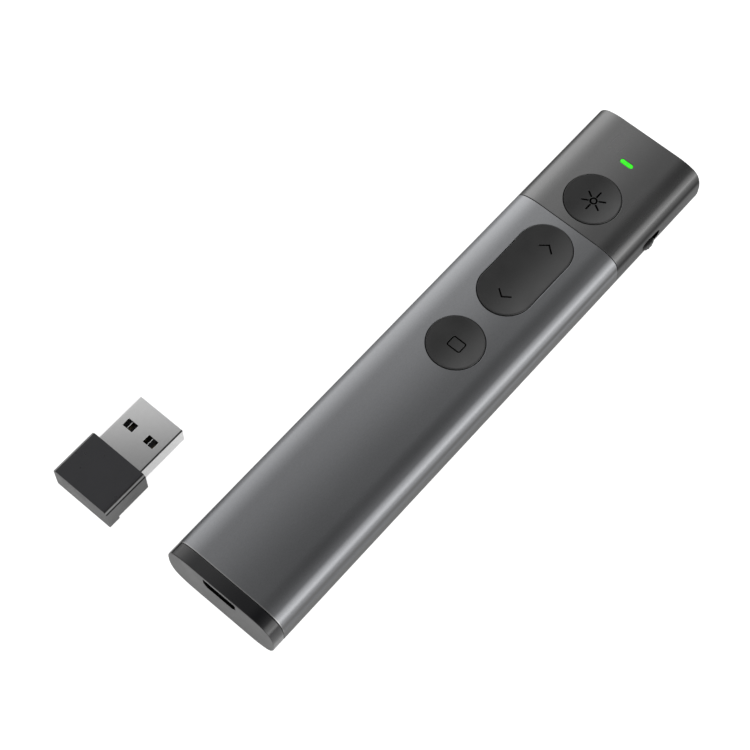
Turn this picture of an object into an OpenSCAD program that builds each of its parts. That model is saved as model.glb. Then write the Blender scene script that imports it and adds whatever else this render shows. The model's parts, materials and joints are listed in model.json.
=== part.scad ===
// Wireless presentation clicker and its plug-in receiver, which lies beside it.
// Origin at the middle of the clicker's underside, +X towards the laser, +Y to the left, +Z up.

/* [Body] */
// Width of the clicker
body_width = 28; // [27:0.2:32]
// Height of the clicker
body_height = 12.4; // [12.3:0.1:15]
// Length of the metal sleeve, from the end cap to the head
sleeve_length = 105.4; // [103:0.2:130]
// Wall of the metal sleeve
sleeve_wall = 1; // [0.8:0.05:1.1]
// Dark gap where the sleeve meets the head and the end cap
seam_gap = 0.12; // [0.06:0.01:0.2]

/* [Rounded section] */
// Radius of the shoulder that leaves the flat top and underside
shoulder_radius = 12; // [10:0.5:13]
// Angle that the shoulder turns through
shoulder_angle = 18; // [14:1:20]
// Radius of the tight arc between shoulder and side
corner_radius = 3.4; // [3:0.1:3.8]
// Radius of the side's swell
side_radius = 8; // [7:0.5:9]
// Angle that the side's swell turns through
side_angle = 22; // [20:1:24]

/* [Head] */
// Length of the head shell, from its seam to the laser face
head_length = 29.1; // [28.6:0.1:36]
// Wall of the head shell
head_wall = 1.2; // [1:0.05:1.3]
// Rounding of the head's front edge
front_round = 0.3; // [0.2:0.1:1]
// Length of the status light's window, across the head
light_length = 3.2; // [2.4:0.1:5]
// Width of the status light's window, along the head
light_width = 1.05; // [0.8:0.05:1.4]
// Place of the status light, as a share of the head's length from its seam
light_share = 0.6976; // [0.69:0.0001:0.73]

/* [End cap] */
// Length of the end cap that shows
cap_length = 3.1; // [2.6:0.1:5]
// Rounding of the end cap's rear edge
cap_round = 0.2; // [0.1:0.05:0.5]
// Length of the cap's collar inside the sleeve
collar_length = 4; // [3:0.5:6]

/* [Buttons] */
// Radius of the round buttons and of the rocker's ends
button_radius = 6.2; // [5.8:0.01:6.5]
// Gap between a button and the edge of its window
button_gap = 0.12; // [0.12:0.01:0.3]
// Height of a button's rim above the top face
button_proud = 0.2; // [0.1:0.05:0.4]
// Depth of a round button's dish
dish_depth = 0.3; // [0.1:0.05:0.5]
// Travel of a round button
button_travel = 0.3; // [0.2:0.05:0.3]
// Distance of the screen button from the head's seam
screen_to_seam = 37.15; // [36:0.05:42]
// Place of the laser button, as a share of the head's length from its seam
laser_button_share = 0.2887; // [0.275:0.0001:0.3]

/* [Page rocker] */
// Distance of the rocker's pivot from the head's seam
rocker_to_seam = 14.4; // [14.1:0.05:15]
// Distance between the centres of the rocker's round ends, and of its two switches
rocker_spacing = 12.4; // [11.5:0.1:12.5]
// Tilt of the rocker each way, in degrees
rocker_tilt = 1.8; // [1:0.1:2]
// Depth of the rocker's long dish
rocker_dish = 0.5; // [0.3:0.05:0.6]
// Radius of the rocker's pin
pin_radius = 0.55; // [0.45:0.05:0.6]

/* [Power slide] */
// Length of the slot in the head's side
slot_length = 5.9; // [5.6:0.1:6.4]
// Height of the slot
slot_height = 2.5; // [2.3:0.1:2.8]
// Place of the slot's rear end, as a share of the head's length from its seam
slot_share = 0.3093; // [0.28:0.0001:0.32]
// Length of the slide knob
knob_length = 3.5; // [3.2:0.1:3.8]
// Height of the slide knob
knob_height = 2; // [1.6:0.1:2.1]
// How far the knob stands out of the side
knob_proud = 0.7; // [0.5:0.1:1]

/* [Charging port] */
// Width of the port's shell
port_width = 7.5; // [7:0.1:8]
// Height of the port's shell
port_height = 2.25; // [2.1:0.01:2.3]
// Length of the port's shell
port_length = 5; // [4.5:0.1:6]
// Room beside the shell in the end cap's opening
port_side_room = 0.4; // [0.2:0.05:0.6]
// Room below the port in the cap
port_low_room = 0.4; // [0.05:0.05:0.5]

/* [Main board] */
// Room between the top wall and the board
board_room = 2.4; // [2.35:0.05:2.6]
// Thickness of the board
board_thickness = 0.8; // [0.6:0.1:0.8]

/* [Battery] */
// Length of the pouch cell, as a share of the room between the receiver bay and the front screws
battery_share = 0.77; // [0.5:0.01:0.8]
// Width of the pouch cell
battery_width = 17; // [12:0.5:18]
// Thickness of the pouch cell
battery_thickness = 5; // [3:0.1:5.4]

/* [Laser] */
// Radius of the laser's barrel
laser_radius = 3; // [2.5:0.05:3.1]
// Length of the laser's barrel
laser_length = 13.5; // [12:0.5:14]
// Radius of the window in the laser face
window_radius = 2.2; // [1.8:0.1:2.4]

/* [Receiver] */
// Width of the plug's steel shell
plug_width = 12; // [11.8:0.1:12.2]
// Height of the plug's steel shell
plug_height = 4.5; // [4.3:0.1:4.6]
// Length of the plug that shows
plug_length = 12.35; // [11.5:0.05:13]
// Sheet of the plug's shell
plug_sheet = 0.3; // [0.2:0.05:0.35]
// Width of the cover
cover_width = 15; // [14.2:0.1:15]
// Length of the cover
cover_length = 11.3; // [10.5:0.1:13]
// Height of the cover above its underside
cover_height = 5.95; // [5.6:0.05:6]
// Length of the lip below the cover's rear end
lip_length = 2.85; // [2:0.05:4]
// Height of the lip
lip_height = 1; // [0.6:0.05:1.1]
// Bevel along the sides of the cover's top
cover_bevel = 0.7; // [0.4:0.05:0.9]
// Space between the clicker's left side and the receiver
receiver_apart = 15.4; // [8:0.2:30]
// How far the receiver's rear end lies behind the end cap
receiver_behind = 1.65; // [0:0.05:10]

/* [Hidden] */
$fn = 96;

// Overrun of a cut past the face that it opens
cut = 0.5;
// Slip fit between pieces that seat in each other
fit = 0.1;
// Running gap of a shaft in its bore
running = 0.06;

// Places along the clicker, from the middle of its length
total_length = cap_length + sleeve_length + head_length;
rear_x = -total_length / 2;
cap_seam = rear_x + cap_length;
head_seam = cap_seam + sleeve_length;
front_x = total_length / 2;
screen_x = head_seam - screen_to_seam;
rocker_x = head_seam - rocker_to_seam;
laser_button_x = head_seam + laser_button_share * head_length;
back_x = rocker_x - rocker_spacing / 2;
forward_x = rocker_x + rocker_spacing / 2;
light_x = head_seam + light_share * head_length;

// Heights inside the clicker
half_width = body_width / 2;
half_height = body_height / 2;
sleeve_ceiling = body_height - sleeve_wall;
head_ceiling = body_height - head_wall;
board_top = sleeve_ceiling - board_room;
board_bottom = board_top - board_thickness;

// Heights of the receiver's plug as it lies on its lip
plug_rise = 0.72;
plug_low = lip_height + plug_rise;
plug_top = plug_low + plug_height;

// The rounded section is four equal corners, each of three arcs that meet without a kink.
// An angle is counted from the vertical, towards the side.
arc_angles = [0, shoulder_angle, 90 - side_angle, 90];
arc_radii = [shoulder_radius, corner_radius, side_radius];
function bearing(a) = [sin(a), cos(a)];
function arc_step(i) = arc_radii[i] * [
    sin(arc_angles[i + 1]) - sin(arc_angles[i]),
    cos(arc_angles[i]) - cos(arc_angles[i + 1])
];
corner_size = arc_step(0) + arc_step(1) + arc_step(2);
top_flat = half_width - corner_size[0];
side_flat = half_height - corner_size[1];
shoulder_centre = [top_flat, half_height - shoulder_radius];
corner_centre = shoulder_centre + (shoulder_radius - corner_radius) * bearing(arc_angles[1]);
side_centre = corner_centre + (corner_radius - side_radius) * bearing(arc_angles[2]);
arc_centres = [shoulder_centre, corner_centre, side_centre];
// Steps along each of the three arcs, and round the edge of a nose
arc_steps = [3, 8, 3];
nose_steps = 6;

// Point of the section's outline on arc i, at an angle, moved in by an inset
function outline_point(i, a, inset) = arc_centres[i] + (arc_radii[i] - inset) * bearing(a);
// A corner's points, from the top to the side, in steps along each arc
function corner_points(inset) = concat(
    [for (i = [0 : 2], k = [0 : arc_steps[i] - 1])
        outline_point(i, arc_angles[i] + k / arc_steps[i] * (arc_angles[i + 1] - arc_angles[i]), inset)],
    [outline_point(2, arc_angles[3], inset)]
);
function flipped(points, y, z) = [for (p = points) [y * p[0], z * p[1]]];
function reversed(points) = [for (i = [len(points) - 1 : -1 : 0]) points[i]];
// The section's whole outline, anticlockwise from the side
function outline(inset) = let (points = corner_points(inset)) concat(
    reversed(points),
    flipped(points, -1, 1),
    reversed(flipped(points, -1, -1)),
    flipped(points, 1, -1)
);
// Half width of the section at a height above the underside, where its side swells
function width_at(height, inset) =
    side_centre[0] + sqrt(pow(side_radius - inset, 2) - pow(abs(height - half_height) - side_flat, 2));

// The rounded section, moved in by an inset
module section_area(inset) {
    polygon(outline(inset));
}

// Lays the section's plane across the body at a place along it
module across(x) {
    translate([x, 0, half_height])
        rotate([90, 0, 90])
            children();
}

// A solid of the rounded section whose far edge is rounded: rings of the outline, the first two
// straight, and each of the others moved in as a quarter circle falls away.
module rounded_block(length, edge) {
    rings = concat(
        [[0, 0]],
        [for (k = [0 : nose_steps]) let (a = 90 * k / nose_steps)
            [length - edge + edge * sin(a), edge * (1 - cos(a))]]
    );
    points = [for (ring = rings) for (p = outline(ring[1])) [p[0], p[1], ring[0]]];
    n = len(points) / len(rings);
    polyhedron(points, concat(
        [[for (j = [0 : n - 1]) j]],
        [[for (j = [n - 1 : -1 : 0]) (len(rings) - 1) * n + j]],
        [for (k = [0 : len(rings) - 2], j = [0 : n - 1], half = [0, 1])
            let (here = k * n + j, beside = k * n + (j + 1) % n)
                half == 0 ? [here, here + n, beside + n] : [here, beside + n, beside]]
    ));
}

// Quarter round of an edge, with a tail that reaches into the solid behind it
module edge_profile(edge) {
    translate([-edge, 0])
        intersection() {
            circle(r = edge);
            square(edge);
        }
    translate([-2 * edge, 0])
        square(edge);
}

// Flat outline with half-round ends along x
module pill_area(spacing, radius) {
    for (side = [-1, 1])
        translate([side * spacing / 2, 0])
            circle(r = radius);
    square([spacing, 2 * radius], center = true);
}

// Flat plate with rounded corners
module plate_area(length, width, corner) {
    for (x = [-1, 1], y = [-1, 1])
        translate([x * (length / 2 - corner), y * (width / 2 - corner)])
            circle(r = corner);
    square([length - 2 * corner, width], center = true);
    square([length, width - 2 * corner], center = true);
}

// Body sleeve: a drawn tube with windows for the screen button, the rocker and the receiver bay.
bay_corner = 1.6;

module body_sleeve() {
    color("#67686b")
        difference() {
            across(cap_seam)
                linear_extrude(sleeve_length)
                    difference() {
                        section_area(0);
                        section_area(sleeve_wall);
                    }
            button_window(screen_x);
            translate([rocker_x, 0, half_height])
                linear_extrude(half_height + cut)
                    pill_area(rocker_spacing, button_radius + button_gap);
            translate([bay_middle, 0, -cut])
                linear_extrude(half_height)
                    plate_area(bay_length + 2 * fit, bay_width + 2 * fit, bay_corner + fit);
        }
}

module button_window(x) {
    translate([x, 0, half_height])
        cylinder(r = button_radius + button_gap, h = half_height + cut);
}

// Head shell: closed at the laser face, with windows for the laser button, the light and the slide.
rail_clear = 0.6;
rail_height = 0.8;
rail_width = 2.2;
slot_rear = head_seam + slot_share * head_length;
slot_middle = slot_rear + slot_length / 2;
power_length = 8.6;
rail_rear = slot_middle + power_length / 2 + rail_clear;
slot_z = half_height;

module head_shell() {
    color("#4b4c4f")
        difference() {
            union() {
                difference() {
                    across(head_seam + seam_gap)
                        rounded_block(head_length - seam_gap, front_round);
                    across(head_seam)
                        linear_extrude(head_length - head_wall)
                            section_area(head_wall);
                }
                head_rails();
            }
            button_window(laser_button_x);
            translate([light_x, 0, half_height])
                linear_extrude(half_height + cut)
                    rotate(90)
                        pill_area(light_length - light_width, light_width / 2 + fit / 2);
            translate([slot_middle, -half_width + head_wall + cut, slot_z])
                rotate([90, 0, 0])
                    linear_extrude(head_wall + 2 * cut)
                        pill_area(slot_length - slot_height, slot_height / 2);
            translate([front_x - head_wall - cut, 0, laser_z])
                rotate([0, 90, 0])
                    cylinder(r = window_radius + fit / 2, h = head_wall + 2 * cut);
        }
}

// Rails on both inner sides of the head, rooted in its wall, which carry the front of the board
module head_rails() {
    rail_middle = width_at(board_bottom, head_wall) + head_wall / 2 - rail_width / 2;
    for (side = [-1, 1])
        translate([rail_rear, side * rail_middle - rail_width / 2, board_bottom - rail_height])
            cube([board_front - rail_rear, rail_width, rail_height]);
}

// End cap: gloss face with the charging opening, and a collar that holds it in the sleeve.
collar_wall = 0.9;
port_z = board_top - half_height;
port_recess = 0.6;
port_chamfer = 0.9;

module end_cap() {
    color("#1c1c1e")
        difference() {
            union() {
                across(cap_seam - seam_gap)
                    mirror([0, 0, 1])
                        rounded_block(cap_length - seam_gap, cap_round);
                across(cap_seam - cap_length / 2)
                    linear_extrude(cap_length / 2 + collar_length)
                        cap_collar();
            }
            across(rear_x - cut)
                linear_extrude(cap_length + 2 * cut)
                    port_area(port_side_room, fit / 2, port_low_room);
        }
}

// The collar stops below the board, which passes over it
module cap_collar() {
    intersection() {
        difference() {
            section_area(sleeve_wall + fit);
            section_area(sleeve_wall + fit + collar_wall);
        }
        translate([-half_width, -half_height])
            square([body_width, board_bottom]);
    }
}

// Outline of the charging port, grown by a room beside it, above it and below it
module port_area(beside, above, below) {
    half = port_width / 2 + beside;
    low = port_z - below;
    high = port_z + port_height + above;
    polygon([
        [-half, low + port_chamfer],
        [-half + port_chamfer, low],
        [half - port_chamfer, low],
        [half, low + port_chamfer],
        [half, high],
        [-half, high],
    ]);
}

// Charging port: a folded shell on the board's rear edge, with a tongue in its mouth.
port_sheet = 0.2;
tongue_width = 4.4;
tongue_thickness = 0.6;
tongue_recess = 0.8;
port_back = 1.2;

module usb_port_shell() {
    color("#b9babc")
        across(rear_x + port_recess)
            linear_extrude(port_length)
                difference() {
                    port_area(0, 0, 0);
                    port_area(-port_sheet, -port_sheet, -port_sheet);
                }
}

module usb_port_tongue() {
    color("#202022")
        across(rear_x + port_recess) {
            translate([0, 0, port_length - port_back])
                linear_extrude(port_back)
                    port_area(-port_sheet, -port_sheet, -port_sheet);
            translate([-tongue_width / 2, port_z + (port_height - tongue_thickness) / 2, tongue_recess])
                cube([tongue_width, tongue_thickness, port_length - port_back - tongue_recess]);
        }
}

// Inner tray: a trough that lines the lower half, joins sleeve and head and carries the board.
tray_wall = 0.9;
tray_inset = head_wall + fit;
tray_rear = cap_seam + collar_length + 2 * fit;
tray_tongue = 4.3;
tray_front = head_seam + tray_tongue;
tray_floor = tray_inset + tray_wall;
boss_radius = 1.7;
boss_side = 8.6;
boss_inset = 2.2;
rib_thickness = 0.8;
rib_height = 3;
screw_radius = 0.6;
screw_length = 3.6;
// The receiver bay's length and place, which the tray's window and the battery keep clear of
bay_foot = 1.5;
bay_room = 0.2;
bay_wall = 0.9;
bay_clear = 2.5;
notch_length = 3;
cover_pocket_length = cover_length + 2 * bay_room;
plug_pocket_length = plug_length + bay_room;
bay_length = 2 * bay_wall + notch_length + cover_pocket_length + plug_pocket_length;
bay_rear = cap_seam + collar_length + 2 * boss_inset + bay_clear;
bay_middle = bay_rear + bay_length / 2;
battery_rear = bay_rear + bay_length + bay_foot + 4 * fit + rib_thickness;
battery_length = battery_share * (head_seam - 2 * boss_inset - battery_rear);
battery_front = battery_rear + battery_length;
terrace_length = 2.5;
screw_places = [
    for (x = [tray_rear + boss_inset, head_seam - boss_inset], side = [-1, 1])
        [x, side * boss_side]
];

module inner_tray() {
    color("#2b2b2d")
        difference() {
            union() {
                across(tray_rear)
                    linear_extrude(tray_front - tray_rear)
                        trough_area();
                for (p = screw_places)
                    translate([p[0], p[1], tray_floor - tray_wall / 2])
                        cylinder(r = boss_radius, h = board_bottom - tray_floor + tray_wall / 2);
                for (x = [battery_rear - fit - rib_thickness, battery_front + terrace_length + fit])
                    translate([x, -battery_width / 2, tray_floor - tray_wall / 2])
                        cube([rib_thickness, battery_width, rib_height + tray_wall / 2]);
            }
            for (p = screw_places)
                translate([p[0], p[1], board_top - screw_length - 2 * fit])
                    cylinder(r = screw_radius + fit / 4, h = screw_length + cut);
            translate([bay_middle, 0, 0])
                linear_extrude(tray_floor + cut)
                    square([bay_length + 2 * bay_foot + 4 * fit, bay_width + 4 * fit], center = true);
        }
}

module trough_area() {
    intersection() {
        difference() {
            section_area(tray_inset);
            section_area(tray_inset + tray_wall);
        }
        translate([-half_width, -half_height])
            square([body_width, board_bottom]);
    }
}

// Main board: one plate from the charging port to the status light, screwed to the tray.
board_rear = cap_seam + 2 * fit;
board_past_light = 3.5;
board_front = light_x + board_past_light;
board_edge = 0.3;
board_half = width_at(board_top, head_wall) - board_edge;
board_corner = 2;
screw_head_radius = 1.25;
screw_head_height = 0.6;

module main_board() {
    color("#1f4d37")
        translate([0, 0, board_bottom])
            difference() {
                translate([(board_rear + board_front) / 2, 0, 0])
                    linear_extrude(board_thickness)
                        plate_area(board_front - board_rear, 2 * board_half, board_corner);
                for (p = screw_places)
                    translate([p[0], p[1], -cut])
                        cylinder(r = screw_radius + fit, h = board_thickness + 2 * cut);
            }
}

module board_screws() {
    color("#a9abad")
        for (p = screw_places)
            translate([p[0], p[1], board_top]) {
                cylinder(r = screw_head_radius, h = screw_head_height);
                translate([0, 0, -screw_length])
                    cylinder(r = screw_radius, h = screw_length);
            }
}

// Battery: a pouch cell on the tray's floor, with a sealed terrace and two tabs at its front.
pouch_corner = 1.4;
terrace_thickness = 0.5;
tab_width = 2.4;
tab_thickness = 0.2;
tab_spacing = 7;

module battery() {
    color("#b4b7ba") {
        translate([battery_rear, 0, tray_floor + battery_thickness / 2])
            rotate([90, 0, 90])
                linear_extrude(battery_length)
                    plate_area(battery_width, battery_thickness, pouch_corner);
        translate([battery_front, -battery_width / 2 + pouch_corner, tray_floor + battery_thickness / 2])
            cube([terrace_length, battery_width - 2 * pouch_corner, terrace_thickness]);
    }
}

// Each tab lies on the terrace and turns up to the board
module battery_tabs() {
    tab_z = tray_floor + battery_thickness / 2 + terrace_thickness;
    color("#c8c9c6")
        for (side = [-1, 1])
            translate([battery_front, side * tab_spacing / 2 - tab_width / 2, tab_z]) {
                cube([terrace_length, tab_width, tab_thickness]);
                translate([terrace_length - tab_thickness, 0, 0])
                    cube([tab_thickness, tab_width, board_bottom - tab_z]);
            }
}

// Chips on the board: the control chip and its crystal ahead of the bay, the charge chip near the port.
chip_size = 4.5;
chip_height = 0.9;
control_to_screen = 18;
crystal_to_control = 5.2;
control_x = screen_x - control_to_screen;
crystal_x = control_x - crystal_to_control;
crystal_length = 3.2;
crystal_width = 2.5;
crystal_height = 0.8;
charge_past_seam = 10.5;
charge_length = 3.9;
charge_width = 4.9;

module chip(x, length, width, height) {
    translate([x - length / 2, -width / 2, board_top])
        cube([length, width, height]);
}

module control_chip() {
    color("#232326")
        chip(control_x, chip_size, chip_size, chip_height);
}

module crystal() {
    color("#c9cacb")
        chip(crystal_x, crystal_length, crystal_width, crystal_height);
}

module charge_chip() {
    color("#232326")
        chip(cap_seam + charge_past_seam, charge_length, charge_width, chip_height);
}

// Receiver bay: a pocket in the underside that takes the receiver upside down, plug to the front.
bay_recess = 0.1;
bay_roof = 0.7;
notch_width = 9;
notch_depth = 4;
plug_sunk = cover_height + lip_height - plug_top;
cover_pocket_top = bay_recess + lip_height + cover_height + bay_room;
plug_pocket_top = bay_recess + plug_sunk + plug_height + bay_room;
bay_width = cover_width + 2 * bay_room + 2 * bay_wall;
bay_top = cover_pocket_top + bay_roof;
foot_drop = 0.2;
foot_height = 0.8;
foot_width = 12;
magnet_length = 8;
magnet_width = 6;
magnet_height = 1.5;
magnet_floor = 0.5;
plug_pocket_rear = bay_rear + bay_wall + notch_length + cover_pocket_length;
magnet_x = plug_pocket_rear + plug_pocket_length / 2;
magnet_z = plug_pocket_top + magnet_floor;

module receiver_bay() {
    color("#242426")
        difference() {
            union() {
                translate([bay_middle, 0, bay_recess])
                    linear_extrude(bay_top - bay_recess)
                        plate_area(bay_length, bay_width, bay_corner);
                translate([bay_middle, 0, sleeve_wall + foot_drop])
                    linear_extrude(foot_height)
                        square([bay_length + 2 * bay_foot, foot_width], center = true);
            }
            translate([bay_rear + bay_wall + notch_length, -cover_width / 2 - bay_room, -cut])
                cube([cover_pocket_length, cover_width + 2 * bay_room, cover_pocket_top + cut]);
            translate([plug_pocket_rear - cut, -plug_width / 2 - bay_room, -cut])
                cube([plug_pocket_length + cut, plug_width + 2 * bay_room, plug_pocket_top + cut]);
            translate([bay_rear + bay_wall, -notch_width / 2, -cut])
                cube([notch_length + cut, notch_width, notch_depth + cut]);
            translate([magnet_x - magnet_length / 2 - fit, -magnet_width / 2 - fit, magnet_z])
                cube([magnet_length + 2 * fit, magnet_width + 2 * fit, bay_top]);
        }
}

module bay_magnet() {
    color("#8d9094")
        translate([magnet_x - magnet_length / 2, -magnet_width / 2, magnet_z])
            cube([magnet_length, magnet_width, magnet_height]);
}

// Tact switch: a low body on the board with a round stem, pressed by a button's post.
switch_length = 4;
switch_width = 3;
switch_height = 1;
switch_floor = 0.2;
stem_radius = 0.9;
stem_room = 0.12;
stem_sink = button_travel + fit;
stem_proud = 0.35;
stem_bottom = board_top + switch_floor + stem_sink;
stem_top = board_top + switch_height + stem_proud;

module switch_body(x) {
    difference() {
        translate([x - switch_length / 2, -switch_width / 2, board_top])
            cube([switch_length, switch_width, switch_height]);
        translate([x, 0, board_top + switch_floor])
            cylinder(r = stem_radius + stem_room, h = switch_height + cut);
    }
}

module switch_stem(x) {
    translate([x, 0, stem_bottom])
        cylinder(r = stem_radius, h = stem_top - stem_bottom);
}

module screen_switch() {
    color("#9fa1a4")
        switch_body(screen_x);
}

module back_switch() {
    color("#9fa1a4")
        switch_body(back_x);
}

module forward_switch() {
    color("#9fa1a4")
        switch_body(forward_x);
}

module laser_switch() {
    color("#9fa1a4")
        switch_body(laser_button_x);
}

module screen_stem() {
    color("#d8d8d6")
        switch_stem(screen_x);
}

module back_stem() {
    color("#d8d8d6")
        switch_stem(back_x);
}

module forward_stem() {
    color("#d8d8d6")
        switch_stem(forward_x);
}

module laser_stem() {
    color("#d8d8d6")
        switch_stem(laser_button_x);
}

// Round button: a dished cap on a skirt, with a flange that the wall holds down and a post on the stem.
rim_round = 0.25;
skirt_wall = 0.9;
crown_thickness = 1.2;
flange_reach = 0.55;
flange_height = 0.5;
flange_gap = 0.05;
post_radius = 1.1;
dish_radius = button_radius - rim_round;
dish_sphere = (dish_radius * dish_radius + dish_depth * dish_depth) / (2 * dish_depth);
rim_z = body_height + button_proud;
crown_z = rim_z - crown_thickness;
fine_steps = 720;

module round_button(x, ceiling) {
    skirt_bottom = ceiling - flange_gap - flange_height;
    translate([x, 0, 0])
        rotate_extrude()
            difference() {
                union() {
                    translate([0, skirt_bottom])
                        square([button_radius + flange_reach, flange_height]);
                    translate([0, skirt_bottom])
                        square([button_radius, rim_z - rim_round - skirt_bottom]);
                    square_to(button_radius - rim_round, rim_z - rim_round, rim_z);
                    translate([button_radius - rim_round, rim_z - rim_round])
                        intersection() {
                            circle(r = rim_round);
                            square(rim_round);
                        }
                    square_to(post_radius, stem_top, crown_z);
                }
                translate([0, rim_z - dish_depth + dish_sphere])
                    intersection() {
                        circle(r = dish_sphere, $fn = fine_steps);
                        translate([0, -dish_sphere])
                            square([dish_sphere, 2 * dish_sphere]);
                    }
                translate([post_radius, skirt_bottom - cut])
                    square([button_radius - skirt_wall - post_radius, crown_z - skirt_bottom + cut]);
            }
}

// Rectangle from the axis out to a radius, between two heights
module square_to(radius, low, high) {
    translate([0, low])
        square([radius, high - low]);
}

module screen_button() {
    color("#38383a")
        round_button(screen_x, sleeve_ceiling);
}

module laser_button() {
    color("#38383a")
        round_button(laser_button_x, head_ceiling);
}

// Page rocker: a long dished cap that tilts on a pin, with a post over each of its two switches.
rocker_half = rocker_spacing / 2 + button_radius;
rocker_rise = 0.35;
rocker_rim_z = body_height + rocker_rise;
rocker_clear = 0.35;
rocker_skirt_z = board_top + rocker_half * sin(rocker_tilt) + rocker_clear;
rocker_crown_z = rocker_rim_z - rocker_dish - crown_thickness;
rocker_sphere = (rocker_half * rocker_half + rocker_dish * rocker_dish) / (2 * rocker_dish);
rocker_post_gap = 0.05;
pivot_z = stem_top + rocker_post_gap;
web_length = 2.4;
web_bottom = board_top + rocker_clear;

module page_rocker() {
    color("#38383a")
        translate([rocker_x, 0, 0])
            difference() {
                union() {
                    difference() {
                        rocker_block();
                        translate([0, 0, rocker_skirt_z - cut])
                            linear_extrude(rocker_crown_z - rocker_skirt_z + cut)
                                pill_area(rocker_spacing, button_radius - skirt_wall);
                    }
                    translate([-web_length / 2, -button_radius, web_bottom])
                        cube([web_length, 2 * button_radius, rocker_crown_z + cut - web_bottom]);
                    for (side = [-1, 1])
                        translate([side * rocker_spacing / 2, 0, pivot_z])
                            cylinder(r = post_radius, h = rocker_crown_z + cut - pivot_z);
                }
                translate([0, 0, rocker_rim_z - rocker_dish + rocker_sphere])
                    sphere(r = rocker_sphere, $fn = fine_steps);
                translate([0, button_radius + cut, pivot_z])
                    rotate([90, 0, 0])
                        cylinder(r = pin_radius + running, h = 2 * button_radius + 2 * cut);
            }
}

// Outside of the rocker: straight sides and a rounded upper edge
module rocker_block() {
    translate([0, 0, rocker_skirt_z])
        linear_extrude(rocker_rim_z - rim_round - rocker_skirt_z)
            pill_area(rocker_spacing, button_radius);
    translate([0, 0, rocker_skirt_z])
        linear_extrude(rocker_rim_z - rocker_skirt_z)
            pill_area(rocker_spacing, button_radius - rim_round);
    translate([0, 0, rocker_rim_z - rim_round])
        pill_rim();
}

// Quarter round carried along the rocker's outline
module pill_rim() {
    for (side = [0, 1])
        mirror([side, 0, 0])
            translate([rocker_spacing / 2, 0, 0])
                rotate(-90)
                    rotate_extrude(angle = 180)
                        translate([button_radius, 0])
                            edge_profile(rim_round);
    for (side = [0, 1])
        mirror([0, side, 0])
            translate([-rocker_spacing / 2, button_radius, 0])
                rotate([90, 0, 90])
                    linear_extrude(rocker_spacing)
                        edge_profile(rim_round);
}

// Cradle: a frame on the board whose two ears hold the rocker's pin.
ear_gap = 0.33;
ear_thickness = 1;
ear_length = 2.6;
ear_radius = ear_length / 2;
frame_rail = 0.7;
frame_height = 0.5;
frame_inner = web_length + 2 * rocker_clear;
cradle_half = button_radius + ear_gap + ear_thickness;
pin_fit = 0.02;

module rocker_cradle() {
    color("#d2d2cf")
        translate([rocker_x, 0, 0])
            difference() {
                union() {
                    translate([0, 0, board_top])
                        linear_extrude(frame_height)
                            difference() {
                                square([frame_inner + 2 * frame_rail, 2 * cradle_half], center = true);
                                square([frame_inner, 2 * (cradle_half - ear_thickness)], center = true);
                            }
                    for (side = [0, 1])
                        mirror([0, side, 0])
                            translate([0, cradle_half, 0])
                                cradle_ear();
                }
                translate([0, cradle_half + cut, pivot_z])
                    rotate([90, 0, 0])
                        cylinder(r = pin_radius + pin_fit, h = 2 * cradle_half + 2 * cut);
            }
}

module cradle_ear() {
    translate([-ear_length / 2, -ear_thickness, board_top])
        cube([ear_length, ear_thickness, pivot_z - board_top]);
    intersection() {
        translate([0, 0, pivot_z])
            rotate([90, 0, 0])
                cylinder(r = ear_radius, h = ear_thickness);
        translate([-ear_length / 2, -ear_thickness, board_top])
            cube([ear_length, ear_thickness, sleeve_ceiling - fit - board_top]);
    }
}

module rocker_pin() {
    color("#c4c6c8")
        translate([rocker_x, cradle_half - fit, pivot_z])
            rotate([90, 0, 0])
                cylinder(r = pin_radius, h = 2 * cradle_half - 2 * fit);
}

// Status light: a small LED on the board and a light pipe up to the head's top face.
led_length = 2;
led_width = 1.2;
led_height = 0.7;
pipe_foot_length = 4.6;
pipe_foot_width = 2;
pipe_foot_height = 0.5;

module status_led() {
    color("#e8e6d8")
        translate([light_x - led_width / 2, -led_length / 2, board_top])
            cube([led_width, led_length, led_height]);
}

module light_pipe() {
    color("#40f020")
        translate([light_x, 0, board_top + led_height]) {
            linear_extrude(body_height - board_top - led_height)
                rotate(90)
                    pill_area(light_length - light_width, light_width / 2);
            translate([0, 0, head_ceiling - board_top - led_height - pipe_foot_height])
                linear_extrude(pipe_foot_height)
                    rotate(90)
                        pill_area(pipe_foot_length - pipe_foot_width, pipe_foot_width / 2);
        }
}

// Laser: a barrel under the board, held by a block on the head's floor, behind a window.
laser_gap = 0.2;
laser_z = board_bottom - laser_gap - laser_radius;
window_flange = 0.8;
window_flange_height = 0.6;
window_sunk = 0.2;
laser_front = front_x - head_wall - window_flange_height - laser_gap;
laser_rear = laser_front - laser_length;
barrel_nose = 2;
barrel_step = 0.5;
barrel_bore = 0.7;
aperture_share = 0.6;
lens_seat = 1.6;
lens_thickness = 1;
lens_rise = 0.3;
driver_thickness = 0.8;
driver_sunk = 0.5;
bore_radius = laser_radius - barrel_bore;
nose_radius = laser_radius - barrel_step;
lens_radius = bore_radius - fit / 2;
lens_sphere = (lens_radius * lens_radius + lens_rise * lens_rise) / (2 * lens_rise);
holder_length = 6;
holder_half = 4.2;
holder_gap = 0.02;

// Lays an axis along the clicker at the laser's height
module along_laser(x) {
    translate([x, 0, laser_z])
        rotate([0, 90, 0])
            children();
}

module laser_barrel() {
    color("#b5965a")
        along_laser(laser_rear)
            difference() {
                union() {
                    cylinder(r = laser_radius, h = laser_length - barrel_nose);
                    cylinder(r = nose_radius, h = laser_length);
                }
                translate([0, 0, -cut])
                    cylinder(r = bore_radius, h = laser_length - lens_seat / 2 + cut);
                cylinder(r = bore_radius * aperture_share, h = laser_length + cut);
            }
}

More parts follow.
